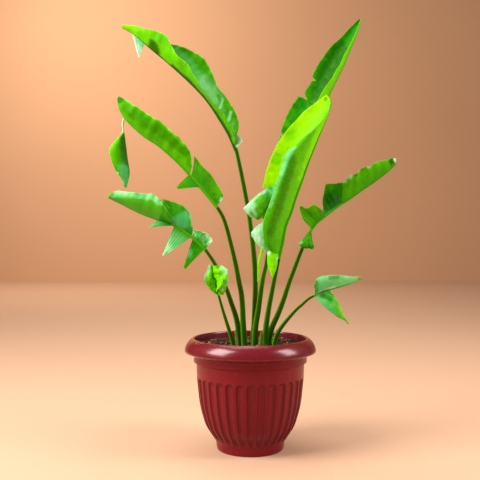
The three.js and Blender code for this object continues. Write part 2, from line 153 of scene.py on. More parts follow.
GOLD_LIME = linear(178, 255, 0)
LIME = linear(138, 242, 0)
YELLOW_GREEN = linear(112, 218, 0)
FRESH = linear(86, 194, 0)
LEAF = linear(62, 172, 0)
MOSS = linear(54, 142, 0)
OLIVE = linear(48, 112, 0)
DEEP = linear(18, 138, 2)
DARK = linear(12, 98, 0)
JADE = linear(104, 250, 156)
# Painted shadow: the dark line under leaf_4's rib, and the shaded side and dark stripes of the stems low
# down.
SHADOW_GREEN = linear(20, 66, 0)
TEAL_SHEEN = linear(84, 202, 112)
SAGE = linear(116, 226, 134)
PALE = linear(168, 246, 176)
WHITE_GREEN = linear(214, 255, 226)
CREAM = linear(228, 226, 188)

POT_RED = linear(119, 11, 25)
SOIL_DARK = linear(28, 11, 5)
SOIL_LIGHT = linear(90, 52, 26)
SOIL_TAN = linear(172, 128, 86)
STEM_GREEN = linear(27, 76, 0)
# The next two are painted light: the highlight on the stems' left and right sides, also in their pale
# streaks, and pale stripes on their lit left side low down.
STEM_LIGHT = linear(124, 172, 10)
STEM_BASE_HIGHLIGHT = linear(96, 164, 14)
RIB_GREEN = linear(72, 158, 4)
SHEATH_TAN = linear(150, 152, 44)
FLOOR_PALE = linear(212, 170, 138)
WALL_PEACH = linear(216, 168, 130)
SCUFF_PINK = linear(190, 130, 120)
BLACK = (0.0, 0.0, 0.0)
SUNLIT_GREEN = (0.7, 0.95, 0.08)
BLADE_SHEEN = (0.55, 1.0, 0.2, 1.0)
STEM_SHEEN = (0.7, 1.0, 0.3, 1.0)
POT_SHEEN = (1.0, 0.55, 0.6, 1.0)
ROOM_GLOW = (1.0, 0.93, 0.86, 1.0)

CAMERA_PLACE = (-0.0157, -1.1, 0.3169)
CAMERA_LENS = 54.03
STAGE_HALF = 7.0             # metres: half the width of the floor and of the wall
WALL_DISTANCE = 4.4
ROOM_STRENGTH = 0.3

# Sizes and places in metres, power in watts. A light with no target points at the plant's middle.
LIGHTS = [
    {
        "name": "key_softbox",
        "place": (-1.15, -0.55, 1.25),
        "size": (0.9, 1.1),
        "power": 44,
        "colour": (1.0, 0.97, 0.93),
    },
    {
        "name": "side_softbox",
        "place": (1.25, -0.35, 1.05),
        "size": (0.6, 0.9),
        "power": 18,
        "colour": (1.0, 0.95, 0.92),
    },
    {
        "name": "top_softbox",
        "place": (-0.2, 0.5, 2.1),
        "size": (1.4, 1.4),
        "power": 22,
        "colour": (1.0, 1.0, 1.0),
    },
    {
        "name": "wall_wash",
        "place": (-1.6, 2.6, 2.2),
        "target": (0.4, WALL_DISTANCE, 1.2),
        "size": (1.0, 1.0),
        "power": 60,
        "colour": (1.0, 0.9, 0.78),
    },
]

# Half section of the pot as (radius, height): foot and wall, collar, rolled lip, inside.
POT_WALL = [
    (49.4, 0), (50.9, 2.2), (52.5, 12.4), (55.6, 17.6), (61.6, 26.6), (67.5, 36), (71.6, 48),
    (76.6, 68), (80, 96), (81.3, 110.7), (82, 127.5),
]
POT_COLLAR = [(82.3, 131), (86, 133), (86, 142), (97.5, 147.4)]
POT_LIP = [
    (97.5, 147.4), (99.5, 147.7), (100, 149.4), (99.3, 153.2), (97.3, 158.4), (93.9, 163.2),
    (90, 166.7), (87.4, 168), (85.5, 167.6), (84.7, 165.5),
]
POT_INSIDE = [(84.6, 152), (79, 128), (77, 105), (67.6, 48), (58.4, 28), (48.6, 13), (45.4, POT_BASE)]

SHEATHS = [
    {
        "name": "sheath_1",
        "edge": [(-22, -11, 142), (-22.5, -11, 160), (-24.5, -11, 180)],
        "rim": [(-17, -9.5, 142), (-18, -9.5, 160), (-22.5, -10.5, 181)],
    },
    {
        "name": "sheath_2",
        "edge": [(12.5, -12, 142), (12, -12, 160), (15.5, -12, 178)],
        "rim": [(16.5, -12, 142), (16.8, -12, 160), (17.2, -12.5, 179)],
    },
    {
        "name": "sheath_3",
        "edge": [(33, -1, 142), (35, -1, 158), (39.5, -1, 180)],
        "rim": [(38, -1, 142), (39.5, -1, 158), (42, -1, 181)],
    },
]
SHEATH_BELLY = (0, -1.2, 0)
SHEATH_WAVE = 0.2
SHEATH_SEED = 5

# Every leaf has a stem from below the soil to the blade, a rib that carries on to the tip, and lobes.
# A lobe is the sheet between a stretch of the rib (root, as shares of its length) and a margin (rim),
# or between an edge of its own and a rim. Places are (x, y, z) in millimetres, as in the CAD model.
# belly bows the sheet, shades are its colours at the rib and the margin, low end then high end;
# the pale blue-green ones are painted sheen, and the dark ones are partly the leaf's own colour and
# partly painted shade in folds.
# Optional: slits (share along, depth, half width) torn in from the margin, strokes (places, radius,
# colour, strength) brushed over it, ragged and wave for the margin, pleats (spacing, height), curl,
# crumple, gloss. The strokes are partly the leaf's own mottling and partly painted light and shade:
# the pale blue-green and white ones are painted sheen, highlights and glints, and the DARK and OLIVE
# ones are painted shade in hollows, folds and under curls. A leaf whose rib is darker than most names
# its rib_shade; leaf_4's dark rib is a painted shadow under the rib.
LEAVES = [
    {
        "name": "leaf_1",
        "slot": "young_blade",
        "stem_radius": (3.8, 1.9),
        "stem": [
            (-24, -5, 132), (-26, -6, 157), (-31, -7, 176), (-37, -8, 195), (-43, -9, 215), (-48, -10, 233),
        ],
        "rib": [(-48, -10, 233), (-50, -11, 247), (-54, -12, 263), (-59, -11, 280)],
        "lobes": [
            {
                "root": (0.02, 0.98),
                "rim": [(-57, -16, 239), (-65, -21, 249), (-70, -23, 258), (-66, -20, 271), (-61, -13, 283)],
                "belly": (0, -5, 0),
                "shades": (YELLOW_GREEN, YELLOW_GREEN, YELLOW_GREEN, LIME),
                "strokes": [
                    ([(-69, -22, 260), (-67, -20, 270), (-61, -13, 282)], 4.5, PALE, 0.95),
                    ([(-71, -23, 257)], 3, WHITE_GREEN, 0.9),
                    ([(-60, -18, 250), (-61, -18, 262)], 2, LEAF, 0.7),
                ],
                "crumple": 1.5,
                "ragged": 0.06,
                "curl": 2.5,
            },
            {
                "root": (0.02, 0.95),
                "rim": [(-42, -17, 237), (-37, -22, 247), (-34, -20, 259), (-37, -17, 269), (-44, -12, 278)],
                "belly": (0, -7, 0),
                "shades": (YELLOW_GREEN, YELLOW_GREEN, YELLOW_GREEN, LIME),
                "strokes": [
                    ([(-44, -13, 277), (-38, -17, 269)], 4.5, PALE, 0.95),
                    ([(-36, -19, 262), (-38, -21, 250)], 3, SAGE, 0.7),
                    ([(-48, -13, 273), (-47, -14, 267)], 2.5, DARK, 0.8),
                    ([(-42, -20, 243)], 3, WHITE_GREEN, 0.8),
                ],
                "crumple": 1.7,
                "ragged": 0.07,
                "curl": -2.5,
            },
            {
                "root": (0.15, 0.62),
                "rim": [(-52, -27, 240), (-45, -30, 247), (-41, -28, 256), (-48, -26, 262)],
                "belly": (0, -6, 0),
                "shades": (YELLOW_GREEN, YELLOW_GREEN, LIME, YELLOW_GREEN),
                "crumple": 1.1,
                "ragged": 0.05,
            },
        ],
    },
    {
        "name": "leaf_2",
        "slot": "mature_blade",
        "stem_radius": (5, 2.6),
        "stem": [
            (-13, 5, 132), (-15, 5, 157), (-18, 5, 179), (-22, 5, 199), (-29, 5, 220), (-36, 6, 240),
            (-50, 7, 272), (-58, 8, 286), (-69, 8, 302),
        ],
        "rib": [
            (-69, 8, 302), (-91, 8, 322), (-119, 10, 340), (-143, 12, 348), (-172, 14, 359),
            (-203, 16, 374), (-220, 16, 382),
        ],
        "lobes": [
            {
                "root": (0.35, 0.99),
                "rim": [
                    (-121, -6, 350), (-127, -12, 363), (-136, -12, 377), (-146, -6, 386), (-165, -2, 389),
                    (-190, 2, 391), (-204, 8, 393), (-220, 13, 387),
                ],
                "belly": (0, -10, -1),
                "shades": (LEAF, LEAF, LEAF, FRESH),
                "strokes": [
                    ([(-208, 6, 388), (-188, 0, 388), (-168, -4, 386), (-150, -8, 384), (-138, -12, 376)],
                     7, SAGE, 0.85),
                    ([(-200, 4, 391), (-184, 0, 390)], 3, PALE, 0.6),
                    ([(-214, 12, 391)], 6, MOSS, 0.8),
                    ([(-221, 15, 384)], 2, WHITE_GREEN, 1.0),
                ],
                "pleats": (26, 0.3),
                "wave": 1.2,
                "ragged": 0.03,
                "gloss": 0.3,
            },
            {
                "root": (0.37, 0.98),
                "rim": [
                    (-125, 30, 367), (-137, 32, 378), (-154, 32, 384), (-174, 31, 387), (-199, 27, 390),
                    (-217, 20, 388),
                ],
                "belly": (0, 9, 0),
                "shades": (LEAF, LEAF, LEAF, SAGE),
            },
            {
                "root": (0.17, 0.36),
                "rim": [
                    (-89, 20, 333), (-92, 28, 351), (-97, 32, 363), (-107, 34, 372), (-123, 34, 378),
                    (-138, 32, 382),
                ],
                "belly": (0, 7, 0),
                "shades": (DEEP, LEAF, DEEP, LEAF),
                "strokes": [
                    ([(-104, 24, 348)], 15, TEAL_SHEEN, 0.75), ([(-98, 26, 355)], 9, TEAL_SHEEN, 0.6),
                    ([(-110, 20, 340)], 8, TEAL_SHEEN, 0.5), ([(-91, 27, 345)], 6, LEAF, 0.8),
                ],
                "pleats": (26, 0.3),
                "gloss": 0.35,
            },
            {
                "root": (0.36, 0.5),
                "rim": [(-149, -12, 337), (-154, -13, 338)],
                "belly": (0, -4, 0),
                "shades": (LEAF, LEAF, SAGE, SAGE),
                "ragged": 0.04,
                "pleats": (5, 0.25),
            },
            {
                "root": (0.17, 0.35),
                "rim": [(-129, -16, 294), (-133, -16, 293)],
                "belly": (0, -5, 0),
                "shades": (LEAF, SAGE, LEAF, PALE),
                "strokes": [([(-125, -12, 300)], 12, PALE, 0.8), ([(-113, -8, 314)], 10, TEAL_SHEEN, 0.6)],
                "ragged": 0.03,
                "pleats": (6, 0.35),
                "gloss": 0.6,
            },
            {
                "root": (0.01, 0.15),
                "rim": [(-99, -12, 273), (-102, -12, 273)],
                "belly": (0, -5, 0),
                "shades": (LEAF, LEAF, DEEP, LEAF),
                "strokes": [([(-93, -4, 296)], 8, SAGE, 0.5)],
                "ragged": 0.03,
                "pleats": (6, 0.3),
            },
            {
                "root": (0.01, 0.16),
                "rim": [(-60, 4, 309), (-57, 0, 317), (-62, -2, 325), (-75, 4, 332), (-87, 12, 334)],
                "belly": (0, 6, 2),
                "shades": (LEAF, SAGE, LEAF, SAGE),
                "strokes": [([(-60, 0, 318)], 7, WHITE_GREEN, 0.9), ([(-68, 2, 326)], 6, PALE, 0.7)],
                "ragged": 0.05,
                "crumple": 1.2,
                "gloss": 0.6,
            },
        ],
    },
    {
        "name": "leaf_3",
        "slot": "mature_blade",
        "stem_radius": (5, 2.8),
        "stem": [
            (-8, -6, 132), (-9, -6, 157), (-11, -7, 191), (-13, -8, 231), (-17, -9, 253), (-27, -10, 300),
            (-41, -12, 350), (-50, -13, 366),
        ],
        "rib": [
            (-50, -13, 366), (-75, -15, 396), (-90, -17, 413), (-109, -18, 433), (-139, -20, 459),
            (-158, -21, 471), (-177, -22, 487), (-188, -23, 499), (-196, -24, 513), (-199, -24, 528),
        ],
        "lobes": [
            {
                "root": (0.28, 0.98),
                "rim": [
                    (-87, -22, 428), (-89, -26, 445), (-97, -30, 461), (-119, -34, 480), (-132, -35, 492),
                    (-148, -36, 501), (-173, -33, 518), (-187, -29, 527), (-198, -27, 532),
                ],
                "belly": (0, -7, 0),
                "shades": (FRESH, FRESH, FRESH, LEAF),
                "strokes": [
                    ([(-186, -28, 512), (-158, -31, 493), (-128, -33, 475), (-99, -30, 450)], 9, MOSS, 0.6),
                    ([(-122, -33, 480), (-140, -26, 468)], 5, MOSS, 0.4),
                    ([(-98, -30, 458), (-126, -34, 486), (-160, -34, 510), (-184, -30, 525)],
                     3, YELLOW_GREEN, 0.7),
                    ([(-195, -28, 525)], 6, OLIVE, 0.85),
                    ([(-200, -26, 531)], 3, WHITE_GREEN, 1.0),
                ],
                "ragged": 0.05,
                "wave": 1.3,
                "pleats": (19, 0.45),
            },
            {
                "root": (0.28, 0.97),
                "rim": [
                    (-90, 0, 432), (-94, 6, 447), (-103, 8, 461), (-127, 8, 483), (-141, 7, 493),
                    (-157, 5, 504), (-175, 0, 516), (-189, -8, 525), (-198, -19, 530),
                ],
                "belly": (0, 7, 0),
                "shades": (MOSS, FRESH, MOSS, MOSS),
                "ragged": 0.04,
            },
            {
                "root": (0.02, 0.27),
                "rim": [
                    (-44, 0, 376), (-41, 4, 383), (-46, 8, 396), (-53, 10, 407), (-61, 10, 419),
                    (-72, 9, 430), (-86, 6, 447),
                ],
                "belly": (0, 6, 0),
                "shades": (LEAF, YELLOW_GREEN, LEAF, FRESH),
                "strokes": [
                    ([(-44, 4, 377)], 5, WHITE_GREEN, 0.95), ([(-66, -2, 408)], 12, LEAF, 0.6),
                    ([(-42, 4, 386)], 3, DARK, 0.6),
                ],
                "ragged": 0.03,
                "pleats": (15, 0.3),
            },
            {
                "root": (0.18, 0.29),
                "rim": [(-107, -32, 393), (-111, -32, 394)],
                "belly": (0, -4, 0),
                "shades": (DEEP, LEAF, LEAF, FRESH),
            },
            {
                "edge": [
                    (-188, -23, 499), (-189, -26, 488), (-188, -27, 478), (-186, -27, 462),
                    (-183, -26, 437), (-180, -27, 417), (-183, -27, 401), (-185, -27, 395),
                ],
                "rim": [
                    (-191, -24, 498), (-192, -27, 488), (-191, -28, 478), (-203, -32, 462),
                    (-209, -33, 451), (-206, -33, 433), (-201, -31, 421), (-191, -29, 406),
                    (-188, -28, 396),
                ],
                "belly": (0, -6, 0),
                "shades": (DARK, YELLOW_GREEN, LEAF, LEAF),
                "strokes": [
                    ([(-190, -26, 498), (-190, -27, 482)], 7, CREAM, 1.0),
                    ([(-188, -28, 466), (-184, -27, 440), (-182, -27, 418)], 8, DARK, 0.75),
                    ([(-190, -30, 424), (-184, -28, 404)], 8, TEAL_SHEEN, 0.85),
                    ([(-198, -31, 416)], 3, WHITE_GREEN, 0.9),
                ],
                "wave": 0.3,
                "pleats": (20, 0.1),
            },
        ],
    },
    {
        "name": "leaf_4",
        "slot": "young_blade",
        # Painted shadow under the rib.
        "rib_shade": SHADOW_GREEN,
        "stem_radius": (5, 3),
        "stem": [
            (5, 8, 132), (5, 8, 157), (7, 10, 200), (8, 11, 249), (6, 13, 290), (-1, 17, 351),
            (-7, 19, 386), (-14, 21, 422), (-21, 23, 455),
        ],
        "rib": [
            (-21, 23, 455), (-33, 24, 482), (-48, 25, 507), (-67, 27, 535), (-90, 29, 560),
            (-133, 32, 599), (-154, 33, 616), (-169, 34, 629), (-185, 34, 642), (-202, 34, 651),
        ],
        "lobes": [
            {
                "root": (0.04, 0.99),
                "rim": [
                    (-22, 8, 472), (-25, 4, 483), (-35, 2, 501), (-49, 1, 520), (-65, 1, 537),
                    (-84, 2, 565), (-95, 4, 585), (-112, 8, 601), (-123, 14, 620), (-130, 16, 633),
                    (-142, 18, 640), (-163, 21, 646), (-182, 26, 652), (-201, 31, 655),
                ],
                "belly": (0, -6, 0),
                "shades": (FRESH, LEAF, YELLOW_GREEN, YELLOW_GREEN),
                "strokes": [
                    ([(-152, 28, 622), (-148, 28, 612)], 9, OLIVE, 1.0),
                    # Painted shadow along the rib.
                    ([(-30, 24, 478), (-48, 25, 508), (-68, 27, 536), (-90, 29, 561), (-122, 31, 590)],
                     4, SHADOW_GREEN, 0.8),
                    ([(-188, 30, 647)], 18, LIME, 0.6), ([(-140, 20, 634)], 12, FRESH, 0.8),
                ],
                "wave": 0.5,
                "pleats": (24, 0.25),
            },
            {
                "root": (0.06, 0.78),
                "rim": [
                    (-20, 36, 484), (-17, 42, 500), (-24, 44, 522), (-33, 46, 538), (-51, 48, 562),
                    (-63, 48, 590), (-74, 47, 607), (-89, 46, 616), (-108, 42, 624), (-125, 38, 626),
                ],
                "belly": (0, 6, 0),
                "shades": (LEAF, FRESH, LEAF, LEAF),
                "strokes": [
                    ([(-120, 41, 620), (-98, 42, 601), (-84, 43, 581), (-72, 44, 560)], 8, SAGE, 0.36),
                    ([(-72, 45, 568), (-62, 44, 554), (-54, 42, 540)], 13, PALE, 0.36),
                    ([(-50, 46, 546), (-46, 38, 530)], 3.5, LEAF, 0.9),
                    ([(-43, 46, 540), (-47, 38, 526)], 3, PALE, 0.7),
                    ([(-38, 45, 528), (-38, 38, 512)], 4, LEAF, 0.9),
                    ([(-30, 44, 520), (-34, 40, 506)], 3, PALE, 0.9),
                    ([(-24, 43, 508), (-28, 36, 494)], 4, FRESH, 0.8),
                ],
                "wave": 1.6,
                "pleats": (13.5, 0.6),
                "gloss": 0.15,
            },
            {
                "root": (0.84, 0.93),
                "rim": [(-171, 24, 604), (-174, 24, 602)],
                "belly": (0, -4, 0),
                "shades": (SAGE, WHITE_GREEN, WHITE_GREEN, WHITE_GREEN),
                "strokes": [([(-168, 30, 622)], 4, SAGE, 0.8)],
                "gloss": 0.7,
            },
            {
                "root": (0.02, 0.12),
                "rim": [(-17, 15, 464), (-12, 13, 468), (-13, 13, 476)],
                "belly": (2, -3, 0),
                "shades": (FRESH, WHITE_GREEN, FRESH, WHITE_GREEN),
                "strokes": [([(-14, 15, 470)], 5, WHITE_GREEN, 1.0)],
                "crumple": 1.0,
                "ragged": 0.1,
            },
        ],
    },
    {
        "name": "leaf_5",
        "slot": "deep_blade",
        "stem_radius": (5, 2.5),
        "stem": [
            (5, -6, 132), (6, -6, 157), (8, -6, 186), (12, -5, 210), (15, -4, 231), (19, -2, 257),
            (24, 1, 279), (28, 4, 302), (37, 9, 330), (51, 14, 363),
        ],
        "rib": [
            (51, 14, 363), (67, 19, 401), (84, 24, 443), (100, 28, 484), (114, 31, 519), (126, 33, 548),
            (136, 35, 568), (147, 36, 590), (158, 37, 616), (169, 38, 642), (177, 38, 668),
        ],
        "lobes": [
            {
                "root": (0.04, 0.53),
                "rim": [
                    (48, 40, 395), (45, 50, 435), (46, 54, 469), (49, 56, 490), (58, 57, 516),
                    (72, 57, 540), (79, 56, 548), (87, 54, 544), (94, 52, 536),
                ],
                "belly": (0, 8, 0),
                "shades": (LEAF, LEAF, DEEP, DEEP),
                "strokes": [
                    ([(56, 54, 505)], 9, FRESH, 0.8), ([(48, 54, 485)], 8, FRESH, 0.7),
                    ([(78, 50, 535)], 12, DEEP, 0.8), ([(70, 50, 520)], 10, LEAF, 0.6),
                ],
                "slits": [(0.52, 0.12, 3.0)],
                "pleats": (16, 0.4),
            },
            {
                "root": (0.54, 0.98),
                "rim": [
                    (92, 54, 535), (88, 57, 556), (95, 58, 565), (103, 57, 588), (118, 54, 612),
                    (130, 51, 627), (145, 47, 640), (161, 43, 656), (174, 41, 668),
                ],
                "belly": (0, 8, 0),
                "shades": (DEEP, LEAF, DEEP, DEEP),
                "strokes": [
                    ([(96, 56, 570)], 9, LEAF, 0.8), ([(108, 56, 592)], 9, LEAF, 0.7),
                    ([(122, 53, 612)], 8, LEAF, 0.7), ([(90, 56, 552)], 7, LEAF, 0.7),
                    ([(144, 45, 622), (120, 45, 578), (108, 45, 548)], 17, DARK, 0.85),
                    ([(172, 40, 664)], 8, DARK, 0.8),
                ],
                "slits": [(0.27, 0.22, 3.5), (0.06, 0.1, 2.5)],
                "pleats": (22, 0.5),
            },
            {
                "root": (0.06, 0.97),
                "rim": [
                    (58, 4, 402), (72, 2, 440), (84, 4, 481), (93, 6, 508), (103, 8, 531), (115, 10, 552),
                    (127, 13, 569), (139, 17, 590), (150, 22, 612), (165, 30, 641), (174, 35, 664),
                ],
                "belly": (0, -6, 0),
                "shades": (YELLOW_GREEN, LIME, FRESH, YELLOW_GREEN),
                "pleats": (24, 0.2),
                "wave": 0.5,
            },
        ],
    },
    {
        "name": "leaf_6",
        "slot": "young_blade",
        "stem_radius": (5, 3.2),
        "stem": [
            (24, -8, 132), (23, -8, 157), (23, -9, 177), (26, -11, 203), (32, -14, 237), (37, -17, 263),
            (42, -20, 289),
        ],
        "rib": [
            (42, -20, 289), (48, -22, 314), (52, -24, 336), (61, -26, 360), (68, -28, 382),
            (77, -30, 407), (85, -32, 430), (95, -33, 455), (104, -34, 477), (115, -34, 503),
            (119, -34, 520), (116, -33, 531),
        ],
        "lobes": [
            {
                "root": (0.42, 0.98),
                "rim": [
                    (18, -4, 397), (24, -5, 422), (30, -6, 440), (42, -8, 465), (53, -9, 481),
                    (66, -11, 495), (81, -15, 511), (98, -21, 523), (113, -30, 533),
                ],
                "belly": (0, 8, 0),
                "shades": (FRESH, GOLD_LIME, YELLOW_GREEN, GOLD_LIME),
                "strokes": [
                    ([(22, -5, 412)], 14, GOLD_LIME, 0.9), ([(30, -6, 438)], 10, GOLD_LIME, 0.9),
                    ([(44, -8, 464)], 9, GOLD_LIME, 0.6), ([(40, -4, 440)], 10, YELLOW_GREEN, 0.8),
                    ([(112, -26, 527)], 4, MOSS, 0.6),
                    ([(60, -8, 478)], 12, YELLOW_GREEN, 0.6),
                ],
                "wave": 0.5,
                "pleats": (30, 0.2),
            },
            {
                "root": (0.03, 0.97),
                "rim": [
                    (27, -34, 301), (21, -42, 311), (18, -47, 324), (18, -50, 343), (28, -53, 372),
                    (40, -54, 409), (51, -53, 445), (66, -51, 456), (82, -48, 472), (92, -44, 481),
                    (105, -40, 495), (117, -37, 515),
                ],
                "belly": (0, -8, 0),
                "shades": (FRESH, LEAF, LIME, LEAF),
                "strokes": [
                    ([(62, -50, 436), (54, -50, 410), (46, -50, 380), (38, -50, 352), (28, -48, 326)],
                     7, OLIVE, 0.55),
                    ([(62, -52, 452), (52, -53, 436), (44, -54, 414)], 5, SAGE, 0.85),
                    ([(44, -54, 414), (33, -54, 384), (27, -53, 366)], 4, SAGE, 0.6),
                    ([(116, -36, 512), (101, -37, 482), (84, -34, 436), (74, -32, 408)], 6, LIME, 0.75),
                    ([(94, -42, 488), (104, -40, 504)], 2.5, OLIVE, 0.6),
                    ([(113, -35, 526)], 2.5, OLIVE, 0.9),
                    ([(117, -35, 529)], 2, WHITE_GREEN, 1.0),
                ],
                "wave": 0.4,
                "pleats": (5.5, 0.12),
                "curl": -3.0,
                "gloss": 0.15,
            },
            {
                "edge": [(38, -28, 399), (21, -31, 392), (6, -32, 381), (-3, -33, 372), (-11, -34, 364)],
                "rim": [
                    (31, -28, 352), (22, -31, 349), (10, -33, 346), (5, -33, 348), (-4, -33, 355),
                    (-9, -34, 361),
                ],
                "belly": (0, -5, 0),
                "shades": (JADE, FRESH, WHITE_GREEN, PALE),
                "strokes": [
                    ([(14, -35, 380), (16, -35, 354)], 10, FRESH, 1.0),
                    ([(24, -34, 384), (26, -33, 356)], 8, LEAF, 0.95),
                    ([(6, -34, 380), (22, -33, 391)], 4, PALE, 0.9),
                    ([(2, -34, 356), (8, -34, 348)], 4, LEAF, 0.7),
                    ([(30, -33, 394)], 4, DARK, 0.6),
                ],
                "crumple": 0.5,
                "ragged": 0.04,
                "gloss": 0.4,
            },
            {
                "edge": [(29, -28, 351), (19, -31, 345), (7, -32, 336), (1, -33, 328)],
                "rim": [(31, -28, 306), (22, -30, 302), (9, -32, 312), (1, -33, 323)],
                "belly": (0, -5, 0),
                "shades": (SAGE, JADE, WHITE_GREEN, PALE),
                "strokes": [
                    ([(5, -34, 327), (12, -35, 320)], 5, WHITE_GREEN, 0.6),
                    ([(22, -34, 344), (24, -34, 320)], 5, JADE, 0.7),
                ],
                "crumple": 0.4,
                "ragged": 0.04,
                "gloss": 0.4,
            },
            {
                "edge": [(25, -27, 303), (24.5, -30, 294), (25, -31, 281), (28, -32, 272), (32, -32, 262)],
                "rim": [(43, -21, 300), (41.5, -27, 292), (40, -30, 282), (38, -32, 273), (34, -32, 263)],
                "belly": (0, -4, 0),
                "shades": (YELLOW_GREEN, YELLOW_GREEN, LIME, LIME),
                "strokes": [([(27, -29, 298)], 4, WHITE_GREEN, 0.9), ([(40, -28, 288)], 3, PALE, 0.8)],
                "ragged": 0.05,
            },
            {
                "edge": [(17, -28, 316), (15, -30, 302), (11, -31, 287), (10, -31, 256)],
                "rim": [(24, -28, 316), (19, -30, 302), (15, -31, 287), (12, -31, 256)],
                "belly": (0, -1, 0),
                "shades": (LIME, LIME, LIME, YELLOW_GREEN),
                "wave": 0.2,
            },
        ],
    },
    {
        "name": "leaf_7",
        "slot": "mature_blade",
        "stem_radius": (5, 2.8),
        "stem": [
            (24, 6, 132), (27, 6, 157), (33, 8, 181), (43, 10, 203), (52, 12, 226), (60, 14, 250),
            (70, 16, 276), (80, 18, 302), (90, 20, 325),
        ],
        "rib": [
            (90, 20, 325), (101, 20, 341), (123, 22, 359), (138, 23, 370), (154, 24, 380),
            (174, 25, 394), (195, 26, 408), (215, 26, 423), (230, 26, 437),
        ],
        "lobes": [
            {
                "root": (0.4, 0.98),
                "rim": [
                    (142, 8, 406), (152, 5, 416), (163, 5, 421), (176, 6, 431), (184, 8, 432),
                    (192, 10, 437), (208, 14, 441), (217, 18, 444), (227, 23, 445),
                ],
                "belly": (0, -6, 0),
                "shades": (LEAF, FRESH, LEAF, FRESH),
                "strokes": [
                    ([(146, 8, 408)], 5, PALE, 0.8), ([(153, 6, 415)], 5, PALE, 0.8),
                    ([(162, 6, 419)], 4, DARK, 0.8), ([(174, 8, 428)], 5, DARK, 0.6),
                    ([(182, 9, 430)], 4, PALE, 0.8), ([(222, 22, 440)], 7, DARK, 0.9),
                    ([(228, 24, 441)], 5, WHITE_GREEN, 1.0), ([(226, 23, 445)], 3, WHITE_GREEN, 1.0),
                    ([(160, 12, 396)], 14, FRESH, 0.4),
                ],
                "ragged": 0.08,
                "wave": 1.4,
                "pleats": (18, 0.3),
            },
            {
                "root": (0.22, 0.42),
                "rim": [
                    (115, 34, 366), (115, 42, 382), (118, 45, 395), (120, 46, 406), (126, 46, 408),
                    (136, 46, 408), (148, 44, 409),
                ],
                "belly": (0, 6, 0),
                "shades": (DEEP, LEAF, DEEP, LEAF),
                "strokes": [
                    ([(128, 40, 384)], 13, DARK, 0.45), ([(122, 45, 402)], 7, LEAF, 0.7),
                    ([(138, 44, 404)], 8, LEAF, 0.6),
                ],
                "ragged": 0.05,
                "pleats": (14, 0.4),
            },
            {
                "root": (0.43, 0.97),
                "rim": [
                    (148, 44, 407), (157, 46, 414), (167, 46, 421), (178, 45, 426), (193, 42, 433),
                    (207, 37, 439), (221, 32, 444), (228, 30, 443),
                ],
                "belly": (0, 6, 0),
                "shades": (DEEP, LEAF, LEAF, LEAF),
                "ragged": 0.06,
            },
            {
                "root": (0.06, 0.22),
                "rim": [
                    (87, 8, 342), (80, 2, 350), (76, -2, 361), (75, -4, 370), (85, -4, 366),
                    (97, -3, 371), (103, 0, 368), (111, 6, 363),
                ],
                "belly": (0, -5, 0),
                "shades": (LEAF, FRESH, LEAF, FRESH),
                "strokes": [([(92, 4, 358)], 12, LEAF, 0.5)],
                "pleats": (12, 0.3),
            },
            {
                "edge": [(93, 19, 332), (87, 15, 325), (80, 11, 318), (74, 8, 312)],
                "rim": [(95, 19, 332), (97, 14, 318), (98, 8, 303), (88, 6, 303), (80, 6, 305), (75, 8, 310)],
                "belly": (0, -5, 0),
                "shades": (MOSS, OLIVE, LEAF, MOSS),
                "strokes": [
                    ([(75, 8, 311), (79, 9, 314)], 2.5, SAGE, 0.8),
                    ([(92, 12, 322), (94, 9, 308)], 3, LEAF, 0.7),
                ],
                "crumple": 1.2,
                "ragged": 0.04,
            },
        ],
    },
    {
        "name": "leaf_8",
        "slot": "mature_blade",
        "stem_radius": (4.2, 2),
        "stem": [
            (35, -9, 132), (36, -9, 157), (39, -10, 171), (44, -11, 181), (51, -12, 191), (69, -15, 212),
            (79, -16, 221), (88, -17, 229), (95, -18, 233),
        ],
        "rib": [
            (95, -18, 233), (110, -19, 240), (119, -20, 243), (134, -21, 247), (149, -22, 252),
            (167, -22, 259),
        ],
        "lobes": [
            {
                "root": (0.02, 0.97),
                "rim": [
                    (95, -28, 242), (94, -34, 252), (97, -37, 260), (108, -38, 264), (120, -38, 266),
                    (135, -36, 265), (150, -31, 263), (166, -25, 262),
                ],
                "belly": (0, -5, 0),
                "shades": (SAGE, JADE, JADE, PALE),
                "strokes": [
                    ([(97, -28, 243), (96, -34, 254)], 5, LEAF, 0.75),
                    ([(118, -37, 262), (128, -36, 263)], 4, LEAF, 0.65),
                    ([(104, -22, 239), (116, -22, 244), (126, -23, 247)], 3, WHITE_GREEN, 0.8),
                    ([(163, -24, 260)], 5, FRESH, 0.8),
                ],
                "pleats": (16, 0.25),
                "ragged": 0.03,
                "wave": 1.2,
                "gloss": 0.1,
            },
            {
                "root": (0.02, 0.96),
                "rim": [
                    (98, -6, 240), (100, 2, 250), (105, 5, 256), (114, 6, 260), (127, 5, 261),
                    (140, 1, 260), (153, -7, 259), (165, -18, 261),
                ],
                "belly": (0, 5, 0),
                "shades": (LEAF, LEAF, LEAF, FRESH),
            },
            {
                "edge": [
                    (96, -18, 235), (104, -23, 224), (111, -26, 217), (127, -29, 204), (139, -30, 198),
                    (145, -30, 192),
                ],
                "rim": [(120, -20, 243), (128, -26, 230), (134, -29, 217), (139, -30, 205), (146, -30, 193)],
                "belly": (0, -6, 0),
                "shades": (SAGE, LEAF, FRESH, FRESH),
                "strokes": [
                    ([(108, -23, 234), (118, -26, 229)], 4.5, DEEP, 0.8),
                    ([(112, -28, 218), (124, -31, 212)], 4, TEAL_SHEEN, 0.6),
                    ([(131, -30, 218), (138, -31, 204)], 4, YELLOW_GREEN, 0.9),
                ],
                "pleats": (12, 0.25),
                "ragged": 0.05,
                "gloss": 0.1,
            },
            {
                "root": (0.04, 0.3),
                "rim": [(140, -12, 196), (143, -12, 197)],
                "belly": (3, 4, 3),
                "shades": (LEAF, LEAF, MOSS, LEAF),
            },
        ],
    },
]


